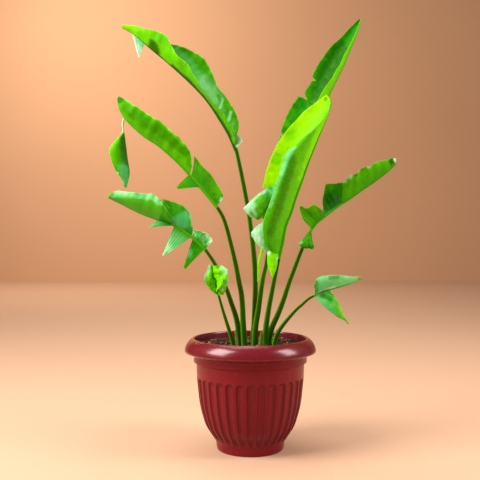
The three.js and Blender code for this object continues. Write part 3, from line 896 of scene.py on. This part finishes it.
class Route:
    """A centripetal Catmull-Rom curve through points in millimetres, read by share of its length."""

    SAMPLES = 60
    NUDGE = 0.004

    def __init__(self, points):
        given = np.array(points, dtype=float)
        padded = np.vstack([2 * given[0] - given[1], given, 2 * given[-1] - given[-2]])
        steps = np.linspace(0, 1, self.SAMPLES, endpoint=False)[:, None]
        stretches = [self.stretch(padded[i:i + 4], steps) for i in range(len(given) - 1)]
        self.places = np.vstack([*stretches, given[-1:]])
        gaps = np.linalg.norm(np.diff(self.places, axis=0), axis=1)
        self.marks = np.concatenate([[0], np.cumsum(gaps)])
        self.length = self.marks[-1]

    @staticmethod
    def stretch(points, step):
        """The curve between the middle two of four points."""
        before, start, end, after = points
        spans = [max(np.linalg.norm(b - a), 1e-6) ** 0.5 for a, b in zip(points, points[1:])]
        first, middle, last = spans
        leave = (start - before) / first - (end - before) / (first + middle) + (end - start) / middle
        arrive = (end - start) / middle - (after - start) / (middle + last) + (after - end) / last
        leave, arrive = leave * middle, arrive * middle
        square, cube = step ** 2, step ** 3
        return ((2 * cube - 3 * square + 1) * start + (cube - 2 * square + step) * leave
                + (3 * square - 2 * cube) * end + (cube - square) * arrive)

    def at(self, shares):
        where = np.asarray(shares) * self.length
        return np.stack([np.interp(where, self.marks, self.places[:, k]) for k in range(3)], axis=-1)

    def ahead(self, shares):
        low = np.clip(shares - self.NUDGE, 0, 1)
        high = np.clip(shares + self.NUDGE, 0, 1)
        return unit(self.at(high) - self.at(low))


def unit(vectors):
    return vectors / np.maximum(np.linalg.norm(vectors, axis=-1, keepdims=True), 1e-9)


def smooth(low, high, values):
    share = np.clip((np.asarray(values, dtype=float) - low) / (high - low), 0, 1)
    return share * share * (3 - 2 * share)


class Socket:
    """An output of a material's nodes, so that maths on it reads as maths."""

    def __init__(self, finish, output):
        self.finish = finish
        self.output = output

    def maths(self, operation, *values):
        sockets = dict(enumerate(values))
        return self.finish.node("ShaderNodeMath", {"operation": operation}, sockets)

    def __add__(self, other):
        return self.maths("ADD", self, other)

    def __sub__(self, other):
        return self.maths("SUBTRACT", self, other)

    def __mul__(self, other):
        return self.maths("MULTIPLY", self, other)

    def __pow__(self, other):
        return self.maths("POWER", self, other)

    def __rsub__(self, other):
        return self.maths("SUBTRACT", other, self)

    __radd__ = __add__
    __rmul__ = __mul__

    def sine(self):
        return self.maths("SINE", self)

    def between(self, low, high):
        """0 below low, 1 above high, smooth between them."""
        settings = {"interpolation_type": "SMOOTHSTEP"}
        sockets = {"Value": self, "From Min": low, "From Max": high}
        return self.finish.node("ShaderNodeMapRange", settings, sockets)


class Finish:
    """A material being made, with one method for its nodes and short ones for the common kinds."""

    def __init__(self, name):
        self.material = bpy.data.materials.new(name)
        self.material.use_nodes = True
        self.tree = self.material.node_tree
        self.tree.nodes.clear()

    def node(self, kind, settings=None, sockets=None, output=0):
        made = self.tree.nodes.new(kind)
        for setting, value in (settings or {}).items():
            setattr(made, setting, value)
        for socket, value in (sockets or {}).items():
            if isinstance(value, Socket):
                self.tree.links.new(value.output, made.inputs[socket])
            else:
                made.inputs[socket].default_value = value
        return Socket(self, made.outputs[output] if made.outputs else None)

    def attribute(self, name, output):
        return self.node("ShaderNodeAttribute", {"attribute_name": name}, output=output)

    def parts(self, vector):
        split = self.node("ShaderNodeSeparateXYZ", sockets={"Vector": vector})
        return [Socket(self, output) for output in split.output.node.outputs]

    def place(self):
        return self.node("ShaderNodeTexCoord", output="Object")

    def vector(self, x, y, z):
        return self.node("ShaderNodeCombineXYZ", sockets={"X": x, "Y": y, "Z": z})

    def cloud(self, vector, scale, detail=3.0):
        sockets = {"Vector": vector, "Scale": scale, "Detail": detail}
        return self.node("ShaderNodeTexNoise", sockets=sockets, output="Fac")

    def mix(self, share, first, second):
        settings = {"data_type": "RGBA"}
        sockets = {0: share, 6: rgba(first), 7: rgba(second)}
        return self.node("ShaderNodeMix", settings, sockets, output=2)

    def bump(self, height, distance, strength):
        sockets = {"Height": height, "Distance": distance, "Strength": strength}
        return self.node("ShaderNodeBump", sockets=sockets)

    def surface(self, glow=0.0, glow_colour=None, **sockets):
        """Ends the material in a Principled shader, with a share of light let through where it glows."""
        shader = self.node("ShaderNodeBsdfPrincipled", sockets=sockets)
        if glow:
            through = self.node("ShaderNodeBsdfTranslucent", sockets={"Color": glow_colour})
            shader = self.node("ShaderNodeMixShader", sockets={0: glow, 1: shader, 2: through})
        self.node("ShaderNodeOutputMaterial", sockets={"Surface": shader})
        return self.material


def rgba(colour):
    return colour if isinstance(colour, Socket) else (*colour, 1.0)


def shaded(colour, share):
    return tuple(part * share for part in colour)


def blade_finish(name, roughness):
    """Leaf skin: side veins from the rib to the margin, mottling, a thin pale margin, a little darker next to
    the rib, glossy patches, over the tint that carries each leaf's colours with their painted sheen,
    highlights and shade.
    """
    finish = Finish(name)
    along, across, gloss = finish.parts(finish.attribute("leaf_grid", "Vector"))
    tint = finish.attribute("tint", "Color")
    place = finish.place()
    mottle = finish.cloud(place, 60.0)
    blotch = finish.cloud(place, 150.0, 4.0)
    cells = finish.cloud(place, 900.0, 2.0)
    wander = finish.cloud(place, 22.0, 1.0)
    veins = ((along * (TAU / (VEIN_PERIOD * MM)) + wander * 9.0).sine() * 0.5 + 0.5) ** 4.0
    darker = finish.mix(0.55, tint, BLACK)
    lighter = finish.mix(0.4, tint, SUNLIT_GREEN)
    colour = finish.mix(veins * 0.22 + mottle.between(0.45, 0.75) * 0.22, tint, darker)
    colour = finish.mix(blotch.between(0.5, 0.8) * 0.16, colour, lighter)
    colour = finish.mix(across.between(0.95, 0.985) * 0.75, colour, lighter)
    colour = finish.mix((1.0 - across.between(0.0, 0.05)) * 0.3, colour, darker)
    return finish.surface(
        glow=0.16,
        glow_colour=colour,
        **{
            "Base Color": colour,
            "Roughness": mottle * 0.16 + roughness,
            "Normal": finish.bump(veins * 0.35 + cells * 0.1, 0.0004, 0.35),
            "Specular IOR Level": 0.16,
            "Specular Tint": BLADE_SHEEN,
            "Coat Weight": gloss,
            "Coat Roughness": 0.26,
        },
    )


def rib_finish(name):
    """Midrib: the rib colour each leaf gives, which on leaf_4 is a painted shadow, with fine lengthwise
    streaks.
    """
    finish = Finish(name)
    along, around, _ = finish.parts(finish.attribute("leaf_grid", "Vector"))
    tint = finish.attribute("tint", "Color")
    streaks = finish.cloud(finish.vector(along * 14.0, around * 9.0, 0.0), 3.0)
    colour = finish.mix(streaks * 0.12, tint, YELLOW_GREEN)
    return finish.surface(**{
        "Base Color": colour,
        "Roughness": streaks * 0.2 + 0.38,
        "Specular IOR Level": 0.12,
        "Specular Tint": STEM_SHEEN,
    })


def stem_finish(name):
    """Stem: a deep green face between lighter edges that are a painted highlight, with fine streaks; low down
    it has painted light and shade, pale stripes on its lit left side, dark stripes and a darker right side.
    """
    finish = Finish(name)
    along, around, side = finish.parts(finish.attribute("leaf_grid", "Vector"))
    streaks = finish.cloud(finish.vector(along * 14.0, around * 9.0, 0.0), 3.0)
    fine = finish.cloud(finish.vector(along * 30.0, around * 60.0, 0.0), 3.0, 2.0)
    # Painted highlight: lighter towards the stem's left and right sides, streaked.
    colour = finish.mix(side.between(0.5, 1.0) * 0.7 + (streaks - 0.45) * 0.7, STEM_GREEN, STEM_LIGHT)
    low = 1.0 - along.between(0.03, 0.1)
    stripes = finish.cloud(finish.vector(along * 5.0, around * 16.0, 0.0), 1.0, 1.0)
    # Low down, painted light and shade: pale stripes on the lit left side, dark stripes all round and a
    # darker right side.
    colour = finish.mix(low * around.between(0.45, 0.9) * stripes.between(0.3, 0.55) * 0.8, colour, STEM_BASE_HIGHLIGHT)
    colour = finish.mix(low * stripes.between(0.45, 0.65) * 0.6, colour, SHADOW_GREEN)
    colour = finish.mix(low * (1.0 - around.between(0.25, 0.6)) * 0.6, colour, SHADOW_GREEN)
    colour = finish.mix(fine * 0.2, colour, BLACK)
    return finish.surface(**{
        "Base Color": colour,
        "Roughness": streaks * 0.2 + 0.34,
        "Normal": finish.bump(fine, 0.0003, 0.4),
        "Specular IOR Level": 0.12,
        "Specular Tint": STEM_SHEEN,
    })


def pot_finish():
    """Moulded plastic: deep red, with painted shade on the flutes' sides, glossy on the lip, slightly
    scuffed.
    """
    finish = Finish("pot_plastic")
    place = finish.place()
    _, _, height = finish.parts(place)
    cloudy = finish.cloud(place, 14.0)
    grain = finish.cloud(place, 1500.0, 2.0)
    scuffs = finish.cloud(place, 260.0, 5.0)
    colour = finish.mix(cloudy * 0.4, POT_RED, shaded(POT_RED, 0.7))
    colour = finish.mix(scuffs.between(0.58, 0.8) * 0.12, colour, SCUFF_PINK)
    # Painted shade on the flutes' sides.
    flute_shade, _, _ = finish.parts(finish.attribute("flute_shade", "Vector"))
    colour = finish.mix(flute_shade * 0.42, colour, shaded(POT_RED, 0.12))
    lip = height.between(*GLOSS_HEIGHTS)
    colour = finish.mix(lip * 0.3, colour, shaded(POT_RED, 0.3))
    return finish.surface(**{
        "Base Color": colour,
        "Roughness": 0.3 - lip * 0.07 + scuffs * 0.06,
        "Normal": finish.bump(grain, 0.0001, 0.2),
        "Specular IOR Level": 0.42,
        "Specular Tint": POT_SHEEN,
        "Coat Weight": lip * 0.55,
        "Coat Roughness": 0.19,
    })


def soil_finish():
    """Damp potting mix: dark crumbs with pale dry ones between."""
    finish = Finish("potting_soil")
    place = finish.place()
    lumps = finish.cloud(place, 160.0, 6.0)
    grit = finish.cloud(place, 700.0, 3.0)
    shade, _, _ = finish.parts(finish.attribute("shade", "Vector"))
    light = lumps.between(0.42, 0.7) * 0.55 + shade.between(0.1, 0.6) * 0.5
    dry = shade.between(0.7, 1.0) * 0.8 + grit.between(0.6, 0.8) * 0.25
    colour = finish.mix(light, SOIL_DARK, SOIL_LIGHT)
    colour = finish.mix(dry, colour, SOIL_TAN)
    return finish.surface(**{
        "Base Color": colour,
        "Roughness": grit * 0.2 + 0.72,
        "Normal": finish.bump(lumps + grit * 0.4, 0.002, 0.9),
        "Specular IOR Level": 0.25,
    })


def sheath_finish():
    """Dry leaf base: papery tan over green, with lengthwise fibres."""
    finish = Finish("dry_sheath")
    along, around, _ = finish.parts(finish.attribute("leaf_grid", "Vector"))
    fibres = finish.cloud(finish.vector(along * 20.0, around * 14.0, 0.0), 4.0)
    colour = finish.mix(fibres, STEM_GREEN, SHEATH_TAN)
    return finish.surface(**{
        "Base Color": colour,
        "Roughness": fibres * 0.2 + 0.5,
        "Normal": finish.bump(fibres, 0.0004, 0.6),
        "Specular IOR Level": 0.25,
    })


def stage_finish(name, colour):
    """Matt paint, very slightly uneven."""
    finish = Finish(name)
    soft = finish.cloud(finish.place(), 1.3, 2.0)
    return finish.surface(**{
        "Base Color": finish.mix(soft * 0.3, colour, shaded(colour, 0.8)),
        "Roughness": 0.9,
    })


def add_piece(name, shape, finishes, slot, *nodes, crease=50):
    """Makes a bmesh a piece of the plant that stands for the given CAD nodes."""
    mesh = bpy.data.meshes.new(name)
    shape.to_mesh(mesh)
    shape.free()
    for finish in finishes:
        mesh.materials.append(finish)
    mesh.shade_smooth()
    mesh.set_sharp_from_angle(angle=math.radians(crease))
    piece = bpy.data.objects.new(name, mesh)
    bpy.context.scene.collection.objects.link(piece)
    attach(piece, "root")
    if nodes:
        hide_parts(*nodes)
    return piece


def absorb(target, part):
    """Moves one bmesh into another."""
    carrier = bpy.data.meshes.new("carrier")
    part.to_mesh(carrier)
    part.free()
    target.from_mesh(carrier)
    bpy.data.meshes.remove(carrier)


def leaf_layers(shape):
    """Layers for the distance along, the share across and the gloss, and for the colour."""
    grid = shape.verts.layers.float_vector.new("leaf_grid")
    tint = shape.verts.layers.float_color.new("tint")
    return grid, tint


def laid_grid(places, grid_values, tints, material):
    """A bmesh grid put through an array of places, with its pattern values and colours."""
    rows, columns = places.shape[0] - 1, places.shape[1] - 1
    shape = bmesh.new()
    grid_layer, tint_layer = leaf_layers(shape)
    bmesh.ops.create_grid(shape, x_segments=rows, y_segments=columns, size=0.5)
    for vertex in shape.verts:
        row = round((vertex.co.x + 0.5) * rows)
        column = round((vertex.co.y + 0.5) * columns)
        vertex.co = Vector(places[row, column]) * MM
        vertex[grid_layer] = Vector(grid_values[row, column])
        vertex[tint_layer] = (*tints[row, column], 1.0)
    for face in shape.faces:
        face.material_index = material
        face.smooth = True
    return shape


def face_out(shape):
    if shape.calc_volume(signed=True) < 0:
        bmesh.ops.reverse_faces(shape, faces=shape.faces)


def close_up(shape):
    """Merges a shape's seams and poles and turns its faces outwards."""
    bmesh.ops.remove_doubles(shape, verts=shape.verts, dist=MERGE_DISTANCE)
    bmesh.ops.recalc_face_normals(shape, faces=shape.faces)
    face_out(shape)


def turned(section, sides):
    """A closed solid spun about Z from its half section, as [radius, height] in millimetres."""
    shape = bmesh.new()
    rows = [shape.verts.new((r * MM, 0.0, z * MM)) for r, z in section]
    edges = [shape.edges.new(pair) for pair in zip(rows, rows[1:])]
    bmesh.ops.spin(
        shape, geom=rows + edges, axis=(0, 0, 1), cent=(0, 0, 0), dvec=(0, 0, 0), angle=TAU, steps=sides,
        use_merge=True, use_normal_flip=False, use_duplicate=False,
    )
    close_up(shape)
    return shape


def tube(route, radii, sides, channel, tint=BLACK, material=0):
    """A closed tube along a route, tapering, with a shallow channel down its front."""
    steps = max(4, round(route.length / STEM_STEP))
    shares = np.concatenate([[0.0], np.linspace(0, 1, steps + 1), [1.0]])
    full = np.ones(len(shares))
    full[[0, -1]] = 0.0
    centres = route.at(shares)
    ahead = route.ahead(shares)
    side = unit(np.cross(ahead, [0.0, 1.0, 0.0]))
    depth = np.cross(side, ahead)
    around = np.linspace(0, TAU, sides + 1)
    front = np.abs((around + TAU / 4 + math.pi) % TAU - math.pi)
    section = 1 - channel * np.exp(-(front / CHANNEL_WIDTH) ** 2)
    radius = np.interp(shares, [0, 1], radii) * full
    spread = radius[:, None] * section[None, :]
    places = (centres[:, None, :]
              + side[:, None, :] * (spread * np.cos(around))[..., None]
              + depth[:, None, :] * (spread * np.sin(around))[..., None])
    lengths = np.broadcast_to((shares * route.length * MM)[:, None], spread.shape)
    turns = np.broadcast_to((np.abs(around / TAU - 0.5) * 2)[None, :], spread.shape)
    sideways = np.broadcast_to(np.abs(np.cos(around))[None, :], spread.shape)
    values = np.stack([lengths, turns, sideways], axis=-1)
    tints = np.broadcast_to(np.array(tint), (*spread.shape, 3))
    shape = laid_grid(places, values, tints, material)
    close_up(shape)
    return shape


def torn_margin(lobe, along, length, travel, seed):
    """The share of its width that a lobe keeps in each row: a ragged margin, and slits torn in from it."""
    teeth = np.array([noise.fractal(Vector((t / TOOTH_SIZE, seed, 0.0)), 1.0, 2.0, 4) for t in travel])
    kept = 1 - lobe.get("ragged", RAGGED) * np.clip(0.5 + teeth, 0, 1.6)
    for share, depth, width in lobe.get("slits", []):
        reach = np.abs(along - share) * length
        kept = np.minimum(kept, 1 - depth * np.clip(1 - reach / width, 0, 1))
    return kept


def sheet_lift(lobe, along, across, travel, fullness, phase, draw):
    """How far a lobe stands off: pleats, a loose wave, strips turned between slits, and a curl."""
    spacing, height = lobe.get("pleats", PLEATS)
    drift = PLEAT_DRIFT * np.sin(travel / PLEAT_DRIFT_LENGTH + phase[1])
    swings = travel * TAU / spacing + phase[0] + drift
    body = np.sin(math.pi * across) ** 0.5
    lift = height * np.sin(swings)[:, None] * body[None, :] * fullness

    wave = np.sin(travel * TAU / LONG_WAVE + phase[2])
    wave = wave + SHORT_WAVE_SHARE * np.sin(travel * TAU / SHORT_WAVE + phase[3])
    lift = lift + lobe.get("wave", WAVE) * wave[:, None] * (across ** 3)[None, :] * fullness

    slits = lobe.get("slits", [])
    ends = [0.0, *sorted(share for share, _, _ in slits), 1.0]
    for start, end in zip(ends, ends[1:]):
        inside = (along >= start) & (along < end)
        turn = (draw.random() - 0.5) * STRIP_TURN * bool(slits)
        local = (along[inside] - start) / (end - start) - 0.5
        lift[inside] += turn * local[:, None] * smooth(0.4, 1, across)[None, :]
    curled = (smooth(CURL_START, 1, across) ** 2)[None, :] * fullness
    return lift + lobe.get("curl", 0.0) * curled


def crumples(places):
    """Creased noise from -1 to 1 at an array of places in millimetres."""
    flat = places.reshape(-1, 3) / CRUMPLE_SIZE
    values = [noise.turbulence(Vector(place), 3, False) for place in flat]
    return np.array(values).reshape(places.shape[:2]) * 2 - 1


def sheet_places(lobe, rib, draw):
    """A lobe's surface, its pattern values, and the share of the way along and across each place."""
    rim = Route(lobe["rim"])
    rows = max(FEWEST_FACES, round(rim.length / SHEET_STEP))
    if "root" in lobe:
        low, high = lobe["root"]
        rows = max(rows, round(rib.length * (high - low) / SHEET_STEP))
    along = np.linspace(0, 1, rows + 1)
    outer = rim.at(along)
    inner = Route(lobe["edge"]).at(along) if "edge" in lobe else rib.at(low + (high - low) * along)
    widths = np.linalg.norm(outer - inner, axis=1)
    columns = max(FEWEST_FACES, round(widths.max() / ACROSS_STEP))
    across = np.linspace(0, 1, columns + 1)
    fullness = (widths / widths.max())[:, None]
    travel = along * max(rim.length, rows * SHEET_STEP)
    phase = draw.random(6) * TAU

    kept = torn_margin(lobe, along, rim.length, travel, phase[4])
    reach_out = across[None, :] * kept[:, None]
    places = inner[:, None, :] + (outer - inner)[:, None, :] * reach_out[..., None]
    bow = np.sin(math.pi * reach_out) * fullness
    places = places + np.array(lobe["belly"], dtype=float) * bow[..., None]

    normals = unit(np.cross(np.gradient(places, axis=0), np.gradient(places, axis=1)))
    lift = sheet_lift(lobe, along, across, travel, fullness, phase, draw)
    lift = lift + lobe.get("crumple", CRUMPLE) * crumples(places) * fullness
    places = places + normals * lift[..., None]

    grid = np.stack([
        np.broadcast_to((travel * MM)[:, None], lift.shape),
        np.broadcast_to(across[None, :], lift.shape),
        np.full_like(lift, lobe.get("gloss", 0.0)),
    ], axis=-1)
    return places, grid, along, across


def path_distance(places, path):
    """How far each place is from a path of points, with depth along Y counting for less."""
    points = [np.array(point, dtype=float) for point in path]
    away = np.full(places.shape[:2], np.inf)
    for start, end in zip(points, points[1:] or points):
        run = end - start
        share = np.clip((places - start) @ run / max(run @ run, 1e-9), 0, 1)
        gap = (places - start - share[..., None] * run) * [1, DEPTH_SHARE, 1]
        away = np.minimum(away, np.linalg.norm(gap, axis=-1))
    return away


def lobe_tints(lobe, places, along, across):
    """Colours blended between a lobe's four corners, then brushed with its strokes: the leaf's own mottling,
    painted sheen, highlights and glints, and painted shade in hollows and folds.
    """
    low_in, low_out, high_in, high_out = (np.array(colour) for colour in lobe["shades"])
    up, out = along[:, None, None], across[None, :, None]
    tints = (low_in * (1 - up) * (1 - out) + low_out * (1 - up) * out
             + high_in * up * (1 - out) + high_out * up * out)
    strokes = lobe.get("strokes", [])
    uneven = crumples(places * TINT_CRUMPLE_SCALE) if strokes else None
    for path, radius, colour, strength in strokes:
        away = path_distance(places, path) + STROKE_WOBBLE * radius * uneven
        share = strength * (1 - smooth(STROKE_CORE * radius, radius, away))
        tints = tints + (np.array(colour) - tints) * share[..., None]
    return tints


def sheet_shape(places, grid, tints):
    """A surface given a blade's thickness, as a closed sheet."""
    shape = laid_grid(places, grid, tints, material=0)
    bmesh.ops.solidify(shape, geom=shape.faces[:], thickness=BLADE_THICKNESS * MM)
    bmesh.ops.remove_doubles(shape, verts=shape.verts, dist=MERGE_DISTANCE)
    face_out(shape)
    return shape


def lobe_shape(lobe, rib, draw):
    places, grid, along, across = sheet_places(lobe, rib, draw)
    return sheet_shape(places, grid, lobe_tints(lobe, places, along, across))


def build_leaf(leaf, blade, rib_skin, stem_skin):
    """One leaf: its blade, with the rib, as one piece, and its stem as another."""
    name = leaf["name"]
    draw = np.random.default_rng(sum(name.encode()))
    rib = Route(leaf["rib"])
    wide, narrow = leaf["stem_radius"]
    shade = leaf.get("rib_shade", RIB_GREEN)

    skin = bmesh.new()
    leaf_layers(skin)
    absorb(skin, tube(rib, (narrow, RIB_TIP_RADIUS), RIB_SIDES, RIB_CHANNEL, shade, material=1))
    for lobe in leaf["lobes"]:
        absorb(skin, lobe_shape(lobe, rib, draw))
    add_piece(name + "_blade_skin", skin, [blade, rib_skin], leaf["slot"], name + "_blade")

    petiole = tube(Route(leaf["stem"]), (wide, narrow), STEM_SIDES, STEM_CHANNEL)
    add_piece(name + "_stem_skin", petiole, [stem_skin], "stem_green", name + "_stem")


def rounded(points, step):
    """Evenly spaced places on a smooth stretch of the section."""
    line = Route([(radius, 0, height) for radius, height in points])
    return [(x, z) for x, _, z in line.at(np.linspace(0, 1, round(line.length / step)))]


def straight(start, end):
    """Places on a straight stretch of the section, closer at its ends so the corners stay crisp."""
    return [tuple(a + (b - a) * share for a, b in zip(start, end)) for share in CORNER_SHARES]


def pot_profile():
    """Half section of the pot as [radius, height] in millimetres, from the underside round to the floor."""
    underside = [(radius, 0) for radius in (0, *FLOOR_RINGS, UNDERSIDE_EDGE)]
    collar = [row for pair in zip(POT_COLLAR, POT_COLLAR[1:]) for row in straight(*pair)]
    floor = [(radius, POT_BASE) for radius in (*reversed(FLOOR_RINGS), 0)]
    wall, lip = rounded(POT_WALL, PROFILE_STEP), rounded(POT_LIP, PROFILE_STEP)
    return underside + wall + collar + lip + rounded(POT_INSIDE, INSIDE_STEP) + floor


def flute_cut(angle, height, radius):
    """How far the wall is scooped in at a place: round-topped flutes between narrow lands."""
    pitch = TAU * radius / FLUTE_COUNT
    half = FLUTE_SHARE * pitch
    turn = angle / TAU * FLUTE_COUNT
    sideways = (turn - round(turn)) * pitch
    above = max(0.0, height - (FLUTE_HIGH - half))
    away = math.hypot(sideways, above) / half
    scoop = max(0.0, 1 - away ** 2) ** FLUTE_ROUNDNESS
    fade = float(smooth(FLUTE_LOW, FLUTE_LOW + FLUTE_FADE, height))
    return FLUTE_DEPTH * scoop * fade


def build_pot(finish):
    shape = turned(pot_profile(), FLUTE_COUNT * SIDES_PER_FLUTE)
    flute_shade = shape.verts.layers.float_vector.new("flute_shade")
    wall = Route([(r, 0, z) for r, z in POT_WALL])
    heights, radii = wall.places[:, 2], wall.places[:, 0]
    for vertex in shape.verts:
        x, y, z = (value / MM for value in vertex.co)
        radius = math.hypot(x, y)
        if FLUTE_LOW < z < FLUTE_HIGH and radius > np.interp(z, heights, radii) - WALL_TOLERANCE:
            cut = flute_cut(math.atan2(y, x), z, radius)
            vertex.co.x *= (radius - cut) / radius
            vertex.co.y *= (radius - cut) / radius
            # Painted shade, strongest halfway down a flute's side.
            share = cut / FLUTE_DEPTH
            vertex[flute_shade] = Vector((4 * share * (1 - share), 0, 0))   # most halfway down a side
    pot = add_piece("pot_skin", shape, [finish], "pot_plastic", "pot", crease=POT_CREASE)
    drill_drains(pot)


def drill_drains(pot):
    """Cuts the drain holes through the pot's bottom."""
    cutter = bmesh.new()
    for i in range(DRAIN_COUNT):
        angle = (i + 0.5) / DRAIN_COUNT * TAU
        drill = bmesh.new()
        radius = DRAIN_RADIUS * MM
        bmesh.ops.create_cone(
            drill, cap_ends=True, segments=DRAIN_SIDES, radius1=radius, radius2=radius,
            depth=DRILL_LENGTH * MM,
        )
        centre = Vector((math.cos(angle), math.sin(angle), 0)) * DRAIN_PITCH_RADIUS * MM
        bmesh.ops.translate(drill, verts=drill.verts, vec=centre)
        absorb(cutter, drill)
    mesh = bpy.data.meshes.new("drain_cutter")
    cutter.to_mesh(mesh)
    cutter.free()
    tool = bpy.data.objects.new("drain_cutter", mesh)
    bpy.context.scene.collection.objects.link(tool)
    cut = pot.modifiers.new("drains", "BOOLEAN")
    cut.operation = "DIFFERENCE"
    cut.solver = "EXACT"
    cut.object = tool
    graph = bpy.context.evaluated_depsgraph_get()
    drilled = bpy.data.meshes.new_from_object(pot.evaluated_get(graph))
    pot.modifiers.clear()
    pot.data = drilled
    bpy.data.objects.remove(tool)


def soil_height(x, y):
    """Height of the soil in millimetres: a low dish with a ring at the wall, and lumps."""
    base = float(np.interp(math.hypot(x, y), *zip(*SOIL_RISE)))
    lumps = noise.fractal(Vector((x, y, 0.0)) * LUMP_SCALE, 1.0, 2.0, 4)
    grains = noise.noise(Vector((x, y, 7.0)) * GRAIN_SCALE)
    return base + LUMP_HEIGHT * lumps + GRAIN_HEIGHT * grains


def build_soil(finish):
    top = [(radius, SOIL_LEVEL) for radius in np.linspace(0, SOIL_RADIUS, SOIL_RINGS)]
    shape = turned(top + [(SOIL_RADIUS - SOIL_TAPER, SOIL_BOTTOM), (0, SOIL_BOTTOM)], SOIL_SIDES)
    shade = shape.verts.layers.float_vector.new("shade")
    middle = (SOIL_BOTTOM + SOIL_LEVEL) / 2 * MM
    for vertex in shape.verts:
        vertex[shade] = Vector((SOIL_TONE, 0, 0))
        if vertex.co.z > middle:
            vertex.co.z = soil_height(vertex.co.x / MM, vertex.co.y / MM) * MM
    add_piece("soil_bed", shape, [finish], "potting_soil", "soil")


def build_crumbs(finish):
    """Loose crumbs and chips lying on the soil."""
    draw = np.random.default_rng(CRUMB_SEED)
    shape = bmesh.new()
    shade = shape.verts.layers.float_vector.new("shade")
    for _ in range(CRUMB_COUNT):
        angle = draw.random() * TAU
        radius = (SOIL_RADIUS - CRUMB_MARGIN) * math.sqrt(draw.random())
        x, y = radius * math.cos(angle), radius * math.sin(angle)
        size = CRUMB_SMALLEST + CRUMB_SPREAD * draw.random() ** 3
        made = bmesh.ops.create_icosphere(shape, subdivisions=1, radius=size * MM)
        stretch = Vector((0.7 + draw.random(), 0.6 + 0.6 * draw.random(), 0.45 + 0.4 * draw.random()))
        turn = draw.random() * TAU
        tone = draw.random()
        for vertex in made["verts"]:
            roughen = 0.75 + 0.5 * draw.random()
            px, py, pz = (vertex.co[k] * stretch[k] * roughen for k in range(3))
            vertex.co = Vector((
                px * math.cos(turn) - py * math.sin(turn) + x * MM,
                px * math.sin(turn) + py * math.cos(turn) + y * MM,
                pz + (soil_height(x, y) + CRUMB_RISE * size) * MM,
            ))
            vertex[shade] = Vector((tone, 0, 0))
    add_piece("soil_crumbs", shape, [finish], "potting_soil", crease=CRUMB_CREASE)


def build_sheath(sheath, finish):
    """A dry scrap of leaf base between the stems."""
    lobe = {**sheath, "belly": SHEATH_BELLY, "wave": SHEATH_WAVE}
    places, grid, _, _ = sheet_places(lobe, None, np.random.default_rng(SHEATH_SEED))
    shape = sheet_shape(places, grid, np.zeros_like(places))
    add_piece(sheath["name"] + "_skin", shape, [finish], "dry_sheath", sheath["name"])


def add_light(light, middle):
    lamp = bpy.data.lights.new(light["name"], "AREA")
    lamp.shape = "RECTANGLE"
    lamp.size, lamp.size_y = light["size"]
    lamp.energy = light["power"]
    lamp.color = light["colour"]
    thing = bpy.data.objects.new(light["name"], lamp)
    thing.location = light["place"]
    aim = Vector(light.get("target", middle)) - Vector(light["place"])
    thing.rotation_euler = aim.to_track_quat("-Z", "Y").to_euler()
    bpy.context.scene.collection.objects.link(thing)


def add_backing(name, finish, turn, place):
    """A large plain sheet for the floor or the wall."""
    shape = bmesh.new()
    bmesh.ops.create_grid(shape, x_segments=1, y_segments=1, size=STAGE_HALF)
    bmesh.ops.rotate(shape, verts=shape.verts, matrix=Matrix.Rotation(math.radians(turn), 3, "X"))
    bmesh.ops.translate(shape, verts=shape.verts, vec=place)
    mesh = bpy.data.meshes.new(name)
    shape.to_mesh(mesh)
    shape.free()
    mesh.materials.append(finish)
    thing = bpy.data.objects.new(name, mesh)
    bpy.context.scene.collection.objects.link(thing)


def build_stage():
    add_backing("floor", stage_finish("floor_paint", FLOOR_PALE), 0, (0, 0, 0))
    add_backing("backdrop", stage_finish("wall_paint", WALL_PEACH), 90, (0, WALL_DISTANCE, STAGE_HALF / 2))
    low, high = cad_box
    for light in LIGHTS:
        add_light(light, (low + high) / 2)

    world = bpy.data.worlds.new("soft_room")
    world.use_nodes = True
    background = world.node_tree.nodes["Background"]
    background.inputs["Color"].default_value = ROOM_GLOW
    background.inputs["Strength"].default_value = ROOM_STRENGTH
    bpy.context.scene.world = world
    bpy.context.scene.view_settings.view_transform = "Standard"


def build_camera():
    lens = bpy.data.cameras.new("camera")
    lens.lens = CAMERA_LENS
    lens.clip_start = 0.01
    camera = bpy.data.objects.new("camera", lens)
    camera.location = CAMERA_PLACE
    camera.rotation_euler = (math.radians(90), 0, 0)
    bpy.context.scene.collection.objects.link(camera)
    bpy.context.scene.camera = camera


build_camera()
build_stage()

blades = {
    "young_blade": blade_finish("young_blade", 0.36),
    "mature_blade": blade_finish("mature_blade", 0.36),
    "deep_blade": blade_finish("deep_blade", 0.38),
}
rib_skin = rib_finish("leaf_rib")
stem_skin = stem_finish("stem_green")
soil_mix = soil_finish()
dry_sheath = sheath_finish()

build_pot(pot_finish())
build_soil(soil_mix)
build_crumbs(soil_mix)
for leaf in LEAVES:
    build_leaf(leaf, blades[leaf["slot"]], rib_skin, stem_skin)
for sheath in SHEATHS:
    build_sheath(sheath, dry_sheath)
